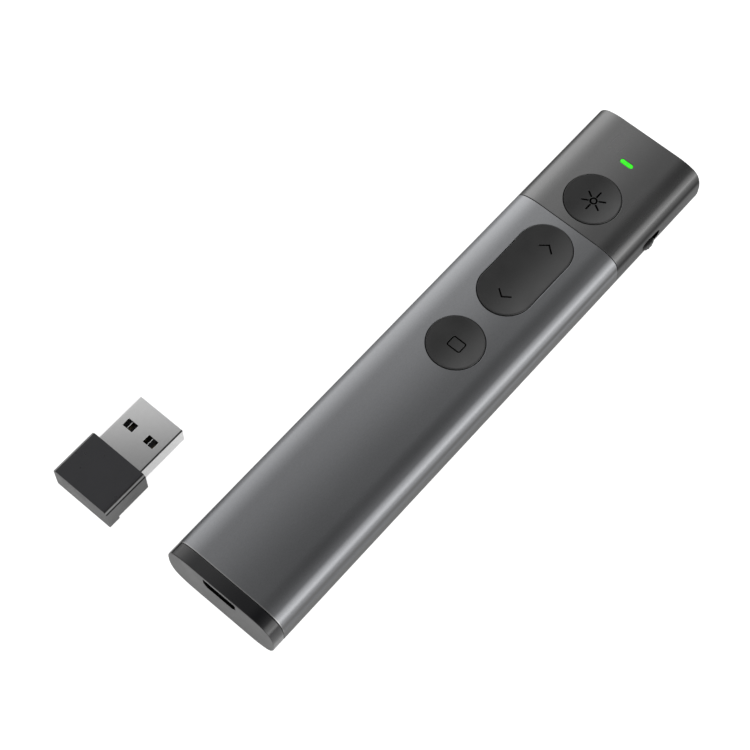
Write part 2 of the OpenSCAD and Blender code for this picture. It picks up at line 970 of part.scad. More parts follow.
// Flat at the back, domed towards the window, and seated behind the barrel's lip
module laser_lens() {
    color("#cfe3ea")
        along_laser(laser_front - lens_seat / 2 - lens_thickness)
            intersection() {
                cylinder(r = lens_radius, h = lens_thickness);
                translate([0, 0, lens_thickness - lens_sphere])
                    sphere(r = lens_sphere, $fn = fine_steps);
            }
}

module laser_driver_board() {
    color("#1f4d37")
        along_laser(laser_rear + driver_sunk)
            cylinder(r = lens_radius, h = driver_thickness);
}

module laser_holder() {
    color("#2b2b2d")
        difference() {
            translate([laser_front - barrel_nose - holder_length, -holder_half, head_wall])
                cube([holder_length, 2 * holder_half, board_bottom - head_wall]);
            along_laser(laser_rear)
                cylinder(r = laser_radius + holder_gap, h = laser_length);
            // open above the barrel, so that it snaps in before the board goes on
            translate([laser_rear, -laser_radius / 2, laser_z])
                cube([laser_length, laser_radius, body_height]);
        }
}

module laser_window() {
    color("#3a1518")
        along_laser(front_x - head_wall - window_flange_height) {
            cylinder(r = window_radius + window_flange, h = window_flange_height);
            cylinder(r = window_radius, h = window_flange_height + head_wall - window_sunk);
        }
}

// Power slide: a ribbed knob in the side slot, on a switch that hangs under the board.
knob_rest_gap = 0.15;
knob_x = slot_rear + knob_rest_gap;
slide_travel = slot_length - knob_length - 2 * knob_rest_gap;
knob_end_share = 0.45;
rib_groove = 0.18;
rib_count = 4;
knob_inner = 0.4;
lever_length = 1.6;
lever_height = 1;
lever_depth = 1.8;
lever_root = 0.3;
power_width = 3.4;
power_gap = 0.25;
power_below = 1.3;
power_bottom = slot_z - lever_height / 2 - power_below;
arch_rise = knob_proud * (1 - knob_end_share);
arch_radius = (pow(knob_length / 2, 2) + arch_rise * arch_rise) / (2 * arch_rise);
knob_middle = knob_x + knob_length / 2;
knob_inner_y = half_width - head_wall - knob_inner;
power_outer = knob_inner_y - power_gap;
channel_room = 0.3;

// Seen from above, the knob's outer face arches along the slot and has a groove between each two ribs
module knob_area() {
    tip = half_width + knob_proud;
    difference() {
        intersection() {
            translate([0, -tip + arch_radius])
                circle(r = arch_radius, $fn = fine_steps);
            translate([-knob_length / 2, -tip - cut])
                square([knob_length, tip + cut - knob_inner_y]);
        }
        for (i = [1 : rib_count - 1])
            translate([(i / rib_count - 1 / 2) * knob_length, -tip + knob_groove_drop(i)])
                circle(r = rib_groove, $fn = 24);
    }
}

// Fall of the arch below its crown at groove i
function knob_groove_drop(i) =
    arch_radius - sqrt(arch_radius * arch_radius - pow((i / rib_count - 1 / 2) * knob_length, 2));

module power_knob() {
    color("#3a3a3c") {
        intersection() {
            translate([knob_middle, 0, slot_z - knob_height / 2])
                linear_extrude(knob_height)
                    knob_area();
            translate([knob_middle, 0, slot_z])
                rotate([90, 0, 0])
                    linear_extrude(body_width)
                        pill_area(knob_length - knob_height, knob_height / 2);
        }
        translate([knob_middle - lever_length / 2, -knob_inner_y - lever_root, slot_z - lever_height / 2])
            cube([lever_length, lever_depth + lever_root, lever_height]);
    }
}

module power_switch() {
    channel = lever_length + slide_travel + 2 * channel_room;
    color("#9fa1a4")
        difference() {
            translate([slot_middle - power_length / 2, -power_outer, power_bottom])
                cube([power_length, power_width, board_bottom - power_bottom]);
            translate([
                knob_middle - lever_length / 2 - channel_room,
                -power_outer - cut,
                slot_z - lever_height / 2 - channel_room / 2
            ])
                cube([channel, lever_depth + channel_room + cut, lever_height + channel_room]);
        }
}

// Receiver: a black cover over a standard plug, lying beside the clicker with the plug to the front.
receiver_y = half_width + receiver_apart + cover_width / 2;
cover_rear = rear_x - receiver_behind;
plug_inside = 6.5;
plug_corner = 0.3;
plug_seat = 0.05;
hole_length = 1.95;
hole_width = 2.5;
hole_spacing = 5.7;
hole_to_tip = 6.15;
cover_cavity = 9.6;

// The receiver's own frame: x along the plug, from the cover's rear end
module receiver_frame() {
    translate([cover_rear, receiver_y, 0])
        children();
}

module receiver_cover() {
    high = lip_height + cover_height;
    half = cover_width / 2;
    color("#262628")
        receiver_frame()
            difference() {
                union() {
                    rotate([90, 0, 90])
                        linear_extrude(cover_length)
                            polygon([
                                [-half, lip_height],
                                [half, lip_height],
                                [half, high - cover_bevel],
                                [half - cover_bevel, high],
                                [-half + cover_bevel, high],
                                [-half, high - cover_bevel],
                            ]);
                    translate([0, -half, 0])
                        cube([lip_length, cover_width, 2 * lip_height]);
                }
                translate([cover_length - cover_cavity, 0, plug_low + plug_height / 2])
                    rotate([90, 0, 90])
                        linear_extrude(cover_cavity + cut)
                            plate_area(plug_width + 2 * plug_seat, plug_height + 2 * plug_seat, plug_corner);
            }
}

module receiver_plug_shell() {
    color("#c6c7c9")
        receiver_frame()
            difference() {
                translate([cover_length - plug_inside, 0, plug_low + plug_height / 2])
                    rotate([90, 0, 90])
                        linear_extrude(plug_inside + plug_length)
                            difference() {
                                plate_area(plug_width, plug_height, plug_corner);
                                plate_area(
                                    plug_width - 2 * plug_sheet,
                                    plug_height - 2 * plug_sheet,
                                    plug_corner - plug_sheet / 2
                                );
                            }
                for (side = [-1, 1])
                    translate([
                        cover_length + plug_length - hole_to_tip - hole_length / 2,
                        side * hole_spacing / 2 - hole_width / 2,
                        0
                    ])
                        cube([hole_length, hole_width, body_height]);
            }
}

// Tongue: the plastic that fills the lower half of the plug, with a groove for each contact.
tongue_height = 1.95;
tongue_sunk = 0.4;
contact_width = 1;
contact_thickness = 0.2;
outer_contact = 3.5;
inner_contact = 1;
contact_places = [-outer_contact, -inner_contact, inner_contact, outer_contact];
contact_sunk = 1;
contact_step = 1;
contact_rear = cover_length - plug_inside;
groove_width = contact_width + 2 * plug_seat;
tongue_top = plug_low + plug_sheet + plug_seat + tongue_height;

// Lower part of the plug's inside, rounded where the shell is
module tongue_area(width) {
    inside = plug_height - 2 * plug_sheet - 2 * plug_seat;
    intersection() {
        plate_area(width, inside, plug_corner - plug_sheet / 2);
        translate([-width / 2, -inside / 2])
            square([width, tongue_height]);
    }
}

module receiver_tongue() {
    width = plug_width - 2 * plug_sheet - 2 * plug_seat;
    color("#1d1d1f")
        receiver_frame()
            difference() {
                translate([contact_rear, 0, plug_low + plug_height / 2])
                    rotate([90, 0, 90])
                        linear_extrude(plug_inside + plug_length - tongue_sunk)
                            tongue_area(width);
                for (place = contact_places)
                    translate([contact_rear, place - groove_width / 2, tongue_top - contact_thickness])
                        cube([contact_reach(place) + plug_seat, groove_width, contact_thickness + cut]);
            }
}

// The outer contacts reach further forward than the inner ones
function contact_reach(place) =
    plug_inside + plug_length - tongue_sunk - contact_sunk
    - (abs(place) > inner_contact ? 0 : contact_step);

module receiver_contacts() {
    color("#c9a24a")
        receiver_frame()
            for (place = contact_places)
                translate([contact_rear, place - contact_width / 2, tongue_top - contact_thickness])
                    cube([contact_reach(place), contact_width, contact_thickness + plug_seat]);
}

// Receiver board: a small plate behind the tongue, seated in the cover's cavity.
receiver_board_length = 2.8;
receiver_board_width = 11;
receiver_board_thickness = 0.8;

module receiver_board() {
    color("#1f4d37")
        receiver_frame()
            translate([
                cover_length - plug_inside - receiver_board_length - fit,
                -receiver_board_width / 2,
                tongue_top - receiver_board_thickness
            ])
                cube([receiver_board_length, receiver_board_width, receiver_board_thickness]);
}

body_sleeve();
head_shell();
end_cap();
inner_tray();
main_board();
board_screws();
battery();
battery_tabs();
control_chip();
charge_chip();
crystal();
usb_port_shell();
usb_port_tongue();
receiver_bay();
bay_magnet();
screen_button();
screen_stem();
screen_switch();
laser_button();
laser_stem();
laser_switch();
page_rocker();
rocker_cradle();
rocker_pin();
back_stem();
back_switch();
forward_stem();
forward_switch();
status_led();
light_pipe();
laser_barrel();
laser_lens();
laser_driver_board();
laser_holder();
laser_window();
power_knob();
power_switch();
receiver_cover();
receiver_plug_shell();
receiver_tongue();
receiver_contacts();
receiver_board();
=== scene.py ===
import json
import math

import bmesh
import bpy
import numpy as np
from mathutils import Matrix

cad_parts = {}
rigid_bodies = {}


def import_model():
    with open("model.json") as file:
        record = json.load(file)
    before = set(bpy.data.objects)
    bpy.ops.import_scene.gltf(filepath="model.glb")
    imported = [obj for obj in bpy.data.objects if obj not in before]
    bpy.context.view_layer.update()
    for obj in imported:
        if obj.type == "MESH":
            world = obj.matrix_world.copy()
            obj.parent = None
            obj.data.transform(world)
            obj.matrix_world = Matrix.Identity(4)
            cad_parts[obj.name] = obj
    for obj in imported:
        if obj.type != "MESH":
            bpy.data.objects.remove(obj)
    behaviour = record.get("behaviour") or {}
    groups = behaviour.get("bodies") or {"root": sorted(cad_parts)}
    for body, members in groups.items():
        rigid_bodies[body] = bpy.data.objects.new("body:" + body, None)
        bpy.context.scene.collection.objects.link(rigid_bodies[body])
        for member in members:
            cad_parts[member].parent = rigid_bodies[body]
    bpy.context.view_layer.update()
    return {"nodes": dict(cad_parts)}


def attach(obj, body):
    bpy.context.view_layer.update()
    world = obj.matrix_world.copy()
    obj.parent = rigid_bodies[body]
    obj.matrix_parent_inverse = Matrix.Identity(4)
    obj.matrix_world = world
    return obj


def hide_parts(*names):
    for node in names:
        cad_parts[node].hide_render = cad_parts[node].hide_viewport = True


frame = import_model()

print("frame: nodes", len(frame["nodes"]))

mm = 0.001
nodes = frame["nodes"]


# Meshes from arrays. All lengths below are in millimetres and become metres in makePiece.

# Quads of a grid: corner (i, j) has the number i * columns + j; either way may close on itself
def gridQuads(rows, columns, closeRows=False, closeColumns=True):
    i, j = np.meshgrid(
        np.arange(rows if closeRows else rows - 1),
        np.arange(columns if closeColumns else columns - 1),
        indexing="ij",
    )
    down = (i + 1) % rows
    along = (j + 1) % columns
    corners = [i * columns + j, i * columns + along, down * columns + along, down * columns + j]
    return np.stack(corners, axis=-1).reshape(-1, 4)


# Surface through a row of loops: point (i, j) is point j of loop i
def loft(loops, closeRows=False):
    loops = np.array(loops, float)
    return loops.reshape(-1, 3), gridQuads(loops.shape[0], loops.shape[1], closeRows)


# One object out of several surfaces: seams and poles are merged, faces turned outwards
def makePiece(name, surfaces, material, sharp=35.0, values=None):
    points = np.concatenate([s[0] for s in surfaces]) * mm
    starts = np.cumsum([0] + [len(s[0]) for s in surfaces[:-1]])
    quads = np.concatenate([s[1] + start for s, start in zip(surfaces, starts)])
    mesh = bpy.data.meshes.new(name)
    mesh.from_pydata(points.tolist(), [], quads.tolist())
    for key, array in (values or {}).items():
        layer = mesh.attributes.new(key, "FLOAT", "POINT")
        layer.data.foreach_set("value", np.asarray(array, dtype=np.float32))
    work = bmesh.new()
    work.from_mesh(mesh)
    bmesh.ops.remove_doubles(work, verts=work.verts, dist=2e-6)
    bmesh.ops.dissolve_degenerate(work, edges=work.edges, dist=1e-7)
    bmesh.ops.recalc_face_normals(work, faces=work.faces)
    work.to_mesh(mesh)
    work.free()
    mesh.shade_smooth()
    mesh.set_sharp_from_angle(angle=math.radians(sharp))
    mesh.materials.append(material)
    piece = bpy.data.objects.new(name, mesh)
    bpy.context.scene.collection.objects.link(piece)
    return piece


# Puts a piece in the place of CAD nodes: on their body, with the nodes hidden
def takeOver(piece, body, slotName, *names):
    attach(piece, body)
    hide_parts(*names)


# Outlines: a chain of straight and round parts in the YZ plane, each (length, turn in degrees).
# A straight part goes on along the tangent; a round one turns about its own centre.

# Unit direction at a bearing, which is 0 towards +Z and 90 degrees towards +Y
def bearingOut(angle):
    return np.stack([np.sin(angle), np.cos(angle)], axis=-1)


# The same direction a quarter turn on, so it runs along the outline
def bearingAlong(angle):
    return np.stack([-np.cos(angle), np.sin(angle)], axis=-1)


# Rows (way round, y, z, bearing, radius) at the start of each part; radius = length / turn, 0 if straight
def makeOutline(start, facing, parts):
    point = np.array(start, float)
    facing = math.radians(facing)
    run = 0.0
    rows = []
    for length, turn in parts:
        turn = math.radians(turn)
        radius = length / turn if turn else 0.0
        rows.append((run, point[0], point[1], facing, radius))
        if turn:
            point = point + radius * (bearingOut(facing - turn) - bearingOut(facing))
            facing -= turn
        else:
            point = point + length * bearingAlong(facing)
        run += length
    return {"rows": np.array(rows), "length": run}


# Point and outward direction at the way s round an outline: start + way * along on a straight part,
# start + radius * (direction now - direction at the start) on a round one
def outlineAt(outline, s):
    s = np.mod(np.asarray(s, float), outline["length"])
    rows = outline["rows"]
    part = np.clip(np.searchsorted(rows[:, 0], s + 1e-9, side="right") - 1, 0, None)
    gone = (s - rows[part, 0])[..., None]
    radius = rows[part, 4][..., None]
    facing = rows[part, 3]
    now = np.where(radius[..., 0] > 0, facing - gone[..., 0] / np.maximum(radius[..., 0], 1e-9), facing)
    straight = gone * bearingAlong(facing) * (radius == 0)
    point = rows[part, 1:3] + straight + radius * (bearingOut(now) - bearingOut(facing))
    return point, bearingOut(now)


# Ways round an outline at which its parts are cut into that many steps each
def outlineSteps(outline, counts):
    ends = np.append(outline["rows"][:, 0], outline["length"])
    return np.concatenate([np.linspace(a, b, n, endpoint=False) for a, b, n in zip(ends, ends[1:], counts)])


# The station nearest to a way round the outline, and the two nearest to a reach on both sides of it
def nearest(steps, s):
    return float(steps[np.argmin(abs(steps - s))])


def bothSides(steps, s, reach):
    return nearest(steps, s - reach), nearest(steps, s + reach)


# A flat loop of points: (y, z) set up at one x, or (x, y) laid at one height
def atX(x, flat):
    return np.column_stack([np.full(len(flat), x), flat])


def atHeight(flat, z):
    return np.column_stack([flat, np.full(len(flat), z)])


# Points round the border of a grid over a and b, from corner to corner, each corner once
def borderOf(a, b):
    return np.concatenate([atHeight(a[:-1, None], b[0]), atX(a[-1], b[:-1, None]),
                           atHeight(a[:0:-1, None], b[-1]), atX(a[0], b[:0:-1, None])])


# Loop on the hull at x: point = outline - inset * outward direction + centre
def hullLoop(outline, steps, x, inset, centre):
    point, out = outlineAt(outline, steps)
    return atX(x, point - inset * out + np.array(centre))


# Stations along x: each stretch from one mark to the next in that many steps
def stations(marks, counts):
    parts = [np.linspace(a, b, n, endpoint=False) for a, b, n in zip(marks, marks[1:], counts)]
    return np.append(np.concatenate(parts), marks[-1])


# Quarter round from the wall to the face: gone inwards = r (1 - cos a), gone along = r sin a
def quarterRound(radius, steps=4):
    angles = np.linspace(0, math.pi / 2, steps + 1)
    return radius * (1 - np.cos(angles)), radius * np.sin(angles)


# Wall of a tube with windows. The profile (x, inset) runs outside, round one end, back inside and round
# the other; point = outline(s) at x, drawn in by the inset. The look gives the stations along x ("marks"
# and the "steps" between them), the "wall" and the round of its "edge". Each window takes out the cells
# over its "x" and "s"; its hole is a rounded rectangle about the "middle" along x and "at" along s.
def tubeWall(outline, steps, look, windows, centre, closeEnd=None):
    xs = stations(look["marks"], look["steps"])
    edge, wall = look["edge"], look["wall"]
    inward, along = quarterRound(edge)
    between = xs[(xs > xs[0] + edge) & (xs < xs[-1] - edge)]
    rows = [(xs[0] + edge - a, i) for i, a in zip(inward[::-1], along[::-1])]
    rows += [(x, 0.0) for x in between]
    if closeEnd is None:
        rows += [(xs[-1] - edge + a, i) for i, a in zip(inward, along)]
    loops = [hullLoop(outline, steps, x, i, centre) for x, i in rows]
    loops += closeEnd or [hullLoop(outline, steps, xs[-1], wall, centre)]
    first, second = len(inward), len(loops)  # where the stations begin outside and inside
    loops += [hullLoop(outline, steps, x, wall, centre) for x in between[::-1]]
    loops.append(hullLoop(outline, steps, xs[0], wall, centre))
    points, quads = loft(loops, closeRows=True)
    keep = np.ones((len(loops), len(steps)), bool)
    surfaces = []
    for hole in windows:
        (xa, xb), (sa, sb) = hole["x"], hole["s"]
        column = (steps > sa - 1e-6) & (steps < sb - 1e-6)
        inside = np.flatnonzero((between > xa - 1e-6) & (between < xb - 1e-6))
        for rowStart, order in ((first, inside), (second, len(between) - 2 - inside)):
            keep[np.ix_(rowStart + order, column)] = False
        surfaces.append(windowRings(outline, steps, between, wall, hole, centre))
    surfaces.insert(0, (points, quads[keep.reshape(-1)]))
    return surfaces


# Closes a window: rings from the cells' border P to the hole's edge, round it, down the wall and back.
# Hole point = c + r (P - c) / |P - c|, where c is P clamped to the rectangle shrunk by its corner r.
def windowRings(outline, steps, between, wall, hole, centre):
    (xa, xb), (sa, sb) = hole["x"], hole["s"]
    xs = between[(between > xa - 1e-6) & (between < xb + 1e-6)]
    ss = steps[(steps > sa - 1e-6) & (steps < sb + 1e-6)]
    border = borderOf(xs, ss)
    corner, edge = hole["corner"], hole["edge"]
    middle = np.array((hole["middle"], hole["at"]))
    room = np.array(hole["half"]) - corner
    anchor = np.clip(border, middle - room, middle + room)
    out = border - anchor
    reach = np.linalg.norm(out, axis=1, keepdims=True)
    out = out / reach
    rim = anchor + corner * out
    reach = reach - corner
    inward, along = quarterRound(edge, 3)
    rings = [(rim + reach * share * out, 0.0) for share in (1.0, 0.7, 0.4)]
    rings.append((rim + (edge + 0.03) * out, 0.0))
    rings += [(rim + (edge - a) * out, d) for d, a in zip(inward, along)]
    rings += [(rim + reach * share * out, wall) for share in (0.0, 0.4, 0.7, 1.0)]
    loops = []
    for flat, depth in rings:
        point, normal = outlineAt(outline, flat[:, 1])
        loops.append(np.column_stack([flat[:, 0], point - depth * normal + np.array(centre)]))
    return loft(loops)


# A loop shrunk to its own middle, which closes an end once its points are merged
def closeToMiddle(loop):
    return np.repeat(loop.mean(axis=0, keepdims=True), len(loop), axis=0)


# Surface through loops with both its ends closed
def closedLoft(loops):
    return loft([closeToMiddle(loops[0])] + loops + [closeToMiddle(loops[-1])])


# Rounded box: a rounded rectangle in XY carried up z, its upper and lower edges rounded too.
# Point = middle + sign * (half - r) + (r - inset) * (cos a, sin a)
def roundedBox(low, high, radius, cornerSteps=4, edgeSteps=3):
    low = np.array(low, float)
    high = np.array(high, float)
    angles = np.concatenate([
        np.linspace(a, a + math.pi / 2, cornerSteps + 1) for a in np.arange(4) * math.pi / 2
    ])
    signs = np.repeat(np.array([[1, 1], [-1, 1], [-1, -1], [1, -1]]), cornerSteps + 1, axis=0)
    middle = (low + high) / 2
    half = (high - low) / 2 - radius
    inward, along = quarterRound(radius, edgeSteps)
    levels = [(low[2] + a, i) for i, a in zip(inward, radius - along)][::-1]
    levels += [(high[2] - radius + a, i) for i, a in zip(inward, along)]
    corner = np.column_stack([np.cos(angles), np.sin(angles)])
    flat = middle[:2] + signs * half[:2]
    return closedLoft([atHeight(flat + (radius - inset) * corner, z) for z, inset in levels])


# Unit circle in that many points
def circle(count):
    angles = np.linspace(0, 2 * math.pi, count, endpoint=False)
    return np.column_stack([np.cos(angles), np.sin(angles)])


# Round bar about z at (x, y): point = (x, y) + r (cos a, sin a) through (r, z) pairs, closed at both ends
def turned(x, y, pairs, count=48):
    return closedLoft([atHeight(np.array([x, y]) + r * circle(count), z) for r, z in pairs])


# Materials

# Linear colour from levels as they show on screen, 0 to 255, by the screen's own curve; one level is grey
def shade(*levels):
    levels = levels * 3 if len(levels) == 1 else levels
    part = np.array(levels, float) / 255
    linear = np.where(part <= 0.04045, part / 12.92, ((part + 0.055) / 1.055) ** 2.4)
    return (*linear.tolist(), 1.0)


# A node tree under way, with short ways to add nodes to it
class Work:
    def __init__(self, tree):
        self.tree = tree

    # Feeds inputs of a node, each with another node's socket or with a plain value
    def feed(self, node, sources):
        for label, source in sources.items():
            if isinstance(source, bpy.types.NodeSocket):
                self.tree.links.new(source, node.inputs[label])
            else:
                node.inputs[label].default_value = source

    def add(self, kind, sources=None, **settings):
        node = self.tree.nodes.new(kind)
        for key, value in settings.items():
            setattr(node, key, value)
        self.feed(node, sources or {})
        return node

    def maths(self, operation, one, two=0.0):
        return self.add("ShaderNodeMath", {0: one, 1: two}, operation=operation).outputs[0]

    def times(self, one, two):
        return self.maths("MULTIPLY", one, two)

    # 1 for rays that come from the camera, straight or through glass
    def seen(self):
        path = self.add("ShaderNodeLightPath").outputs
        return self.maths("MAXIMUM", path["Is Camera Ray"], path["Is Transmission Ray"])

    # Dot product of a vector with a fixed direction
    def facing(self, vector, toward):
        node = self.add("ShaderNodeVectorMath", {0: vector, 1: toward}, operation="DOT_PRODUCT")
        return node.outputs["Value"]

    # A value between low and high as the source goes from its lower to its upper mark
    def spread(self, source, low, high, fromLow=0.3, fromHigh=0.7, **settings):
        marks = {"Value": source, "From Min": fromLow, "From Max": fromHigh, "To Min": low, "To Max": high}
        return self.add("ShaderNodeMapRange", marks, **settings).outputs["Result"]


# A material under way: keeps the shader, the object's own coordinates and the relief so far
class Finish(Work):
    def __init__(self, name, sockets):
        self.material = bpy.data.materials.new(name)
        self.material.use_nodes = True
        super().__init__(self.material.node_tree)
        self.shader = self.tree.nodes["Principled BSDF"]
        self.place = self.add("ShaderNodeTexCoord").outputs["Object"]
        self.relief = None
        self.set(sockets)

    def set(self, sockets):
        self.feed(self.shader, sockets)

    # Noise whose cells are about size (in mm) across; stretch makes it longer along an axis
    def noise(self, size, detail=2.0, stretch=(1, 1, 1)):
        scale = tuple(1 / k for k in stretch)
        at = self.add("ShaderNodeMapping", {"Vector": self.place, "Scale": scale}).outputs["Vector"]
        cells = {"Vector": at, "Scale": 1 / (size * mm), "Detail": detail}
        return self.add("ShaderNodeTexNoise", cells).outputs["Fac"]

    def own(self, name):
        return self.add("ShaderNodeAttribute", attribute_name=name).outputs["Fac"]

    def axis(self, name):
        return self.add("ShaderNodeSeparateXYZ", {0: self.place}).outputs[name]

    # Distance from the middle plane on either side
    def aside(self):
        return self.maths("ABSOLUTE", self.axis("Y"))

    # 0 up to the first mark and 1 from the second on, and the reverse; marks in mm
    def past(self, place, one, two):
        return self.spread(place, 0.0, 1.0, one * mm, two * mm)

    def until(self, place, one, two):
        return self.spread(place, 1.0, 0.0, one * mm, two * mm)

    # 1 inside a box given in mm as {axis: (low, high)}, 0 outside it
    def inBox(self, box, soft=0.03):
        inside = 1.0
        for name, (low, high) in box.items():
            at = self.axis(name)
            inside = self.times(self.past(at, low - soft, low + soft), inside)
            inside = self.times(self.until(at, high - soft, high + soft), inside)
        return inside

    # That share of the first pattern and the rest of the second
    def blend(self, one, two, share):
        return self.maths("ADD", self.times(one, share), self.times(two, 1 - share))

    # A value that strays from its middle by so much, along a pattern
    def about(self, pattern, middle, reach):
        return self.spread(pattern, middle - reach, middle + reach)

    # One colour turning into the other as the share goes from 0 to 1; then the same along a pattern
    def mix(self, share, one, two):
        return self.add("ShaderNodeMix", {0: share, 6: one, 7: two}, data_type="RGBA").outputs[2]

    def tones(self, pattern, dark, light):
        return self.mix(self.spread(pattern, 0.0, 1.0), dark, light)

    # Relief: the height runs from 0 to depth (in mm), and stacks on the relief before it
    def bump(self, source, depth):
        heights = {"Height": source, "Strength": 1.0, "Distance": depth * mm}
        if self.relief is not None:
            heights["Normal"] = self.relief
        self.relief = self.add("ShaderNodeBump", heights).outputs["Normal"]
        self.set({"Normal": self.relief})

    # A very shallow crown over a flat face: height = depth cos(pi (p - middle) . toward / span), p in mm
    def crown(self, toward, middle, span, depth):
        turn = math.pi / (span * mm)
        start = turn * mm * sum(a * b for a, b in zip(toward, middle))
        along = self.facing(self.place, tuple(turn * k for k in toward))
        self.bump(self.maths("COSINE", self.maths("SUBTRACT", along, start)), depth)


# Plain finishes: a tone that drifts in soft clouds, a fine grain in tone, gloss and relief
plainBase = {"metallic": 0.0, "grain": 0.2, "cloud": 6.0, "stretch": (1, 1, 1), "relief": 0.002}
plainLooks = {
    "blackPlastic": {"light": (44, 44, 46), "dark": (34, 34, 36), "rough": 0.5, "relief": 0.004},
    "brightSteel": {"light": (196, 198, 200), "dark": (172, 174, 176), "rough": 0.28, "metallic": 1.0},
    "nickelPlate": {"light": (186, 187, 186), "dark": (160, 161, 160), "rough": 0.32, "metallic": 1.0},
    "chipResin": {"light": (48, 48, 48), "dark": (36, 36, 37), "rough": 0.6, "grain": 0.08, "relief": 0.004},
    "magnetPlate": {"light": (190, 192, 194), "dark": (170, 172, 174), "rough": 0.14, "metallic": 1.0},
    "palePlastic": {"light": (214, 213, 206), "dark": (200, 198, 190), "rough": 0.45, "relief": 0.003},
    "turnedBrass": {"light": (205, 172, 106), "dark": (178, 146, 84), "rough": 0.25, "metallic": 1.0,
                    "stretch": (0.2, 4, 4)},
    "tintedWindow": {"light": (70, 22, 26), "dark": (54, 15, 19), "rough": 0.08, "relief": 0.0005},
    # painted shade: the gold contacts dulled dark for the shade inside the plug
    "shadedContact": {"light": (82, 76, 62), "dark": (64, 58, 46), "rough": 0.3, "metallic": 1.0},
    # painted shade: near black for parts that sit in shade, the port's shell and the power switch
    "paintedShadeBlack": {"light": (16, 16, 17), "dark": (10, 10, 11), "rough": 0.55},
    "pouchFoil": {"light": (188, 191, 194), "dark": (160, 163, 167), "rough": 0.35, "metallic": 1.0,
                  "grain": 1.6, "relief": 0.05},
}


def plainFinish(name, look):
    look = {**plainBase, **look}
    work = Finish(name, {"Metallic": look["metallic"], "Roughness": look["rough"]})
    grain = work.noise(look["grain"], 2.0, look["stretch"])
    cloud = work.noise(look["cloud"], 3.0)
    tone = work.spread(work.blend(grain, cloud, 0.5), 0.0, 1.0, 0.35, 0.65)
    work.set({
        "Base Color": work.mix(tone, shade(*look["dark"]), shade(*look["light"])),
        "Roughness": work.about(cloud, look["rough"], 0.05),
    })
    work.bump(grain, look["relief"])
    return work.material


# Solder mask: green with paler copper runs under it, each a raised line of a fine brick pattern
boardLook = {
    "dark": (24, 66, 46), "light": (30, 82, 56), "runs": (64, 120, 84), "cell": 1.6, "run": 0.09,
    "proud": 0.03, "cloud": 3.0, "rough": (0.3, 0.45),
}


def boardFinish():
    look = boardLook
    work = Finish("solderMask", {"Roughness": look["rough"][0]})
    cells = {"Vector": work.place, "Scale": 1 / (look["cell"] * mm), "Mortar Size": look["run"]}
    runs = work.add("ShaderNodeTexBrick", cells).outputs["Fac"]
    cloud = work.noise(look["cloud"])
    base = work.tones(cloud, shade(*look["dark"]), shade(*look["light"]))
    rough = work.spread(cloud, *look["rough"])
    work.set({"Base Color": work.mix(runs, base, shade(*look["runs"])), "Roughness": rough})
    work.bump(runs, look["proud"])
    return work.material


# Clear glass for the lens, with a faint haze in its tint and its gloss
glassLook = {
    "dark": (238, 246, 248), "light": (250, 252, 252), "haze": 0.5, "rough": (0.01, 0.06), "bend": 1.5,
}


def glassFinish():
    look = glassLook
    clear = {"Roughness": look["rough"][0], "Transmission Weight": 1.0, "IOR": look["bend"]}
    work = Finish("lensGlass", clear)
    haze = work.noise(look["haze"])
    tint = work.tones(haze, shade(*look["dark"]), shade(*look["light"]))
    work.set({"Base Color": tint, "Roughness": work.spread(haze, *look["rough"])})
    return work.material


finishes = {name: plainFinish(name, look) for name, look in plainLooks.items()}
finishes["solderMask"] = boardFinish()
finishes["lensGlass"] = glassFinish()

# Satin anodised metal: a fine blasted grain, drawn a little along the tube, and soft clouds in the gloss.
# Levels are as on screen; "edge" is the tone at a glancing angle. Below, each x or z is in mm:
# "rise" (from x, to x, levels gained) is painted light, paler towards the head; "bareEdgeHighlight" (full up
# to x, none from x, level) is bare metal at the cut edge with a painted highlight; "band" (z up, full, full,
# down, level) is a painted dark reflection along the sides and "foot" (full up to z, none from z, level) a
# painted pale reflection.
sleeveLook = {
    "light": 131, "dark": 121, "edge": 168, "cool": 1, "rough": 0.32, "grain": 0.14, "cloud": 14.0,
    "relief": 0.0022, "rise": (-45, 40, 17), "bareEdgeHighlight": (-65.6, -65.42, 158),
    "band": (8.5, 9.2, 9.5, 10.2, 112), "foot": (7.4, 8.6, 144),
}
headLook = {
    "light": 120, "dark": 110, "edge": 172, "cool": 0, "rough": 0.26, "grain": 0.12, "cloud": 10.0,
    "relief": 0.0018, "band": (8.3, 9.2, 9.5, 12.4, 68), "foot": (7.4, 8.6, 126), "blacked": 9,
    "slot": {"X": (48.5, 54.8), "Y": (-13.9, -11.0), "Z": (4.5, 7.9)},
}
# Where the painted reflections along the sides end, in mm
paintedSideReach = {"x": (68.5, 68.65), "y": (12.2, 12.8)}  # the sides' tones end before the front face and the top
crownLook = {"toward": (0, 1, 0), "middle": (0, 0, 0), "span": 14.0, "depth": 0.42}


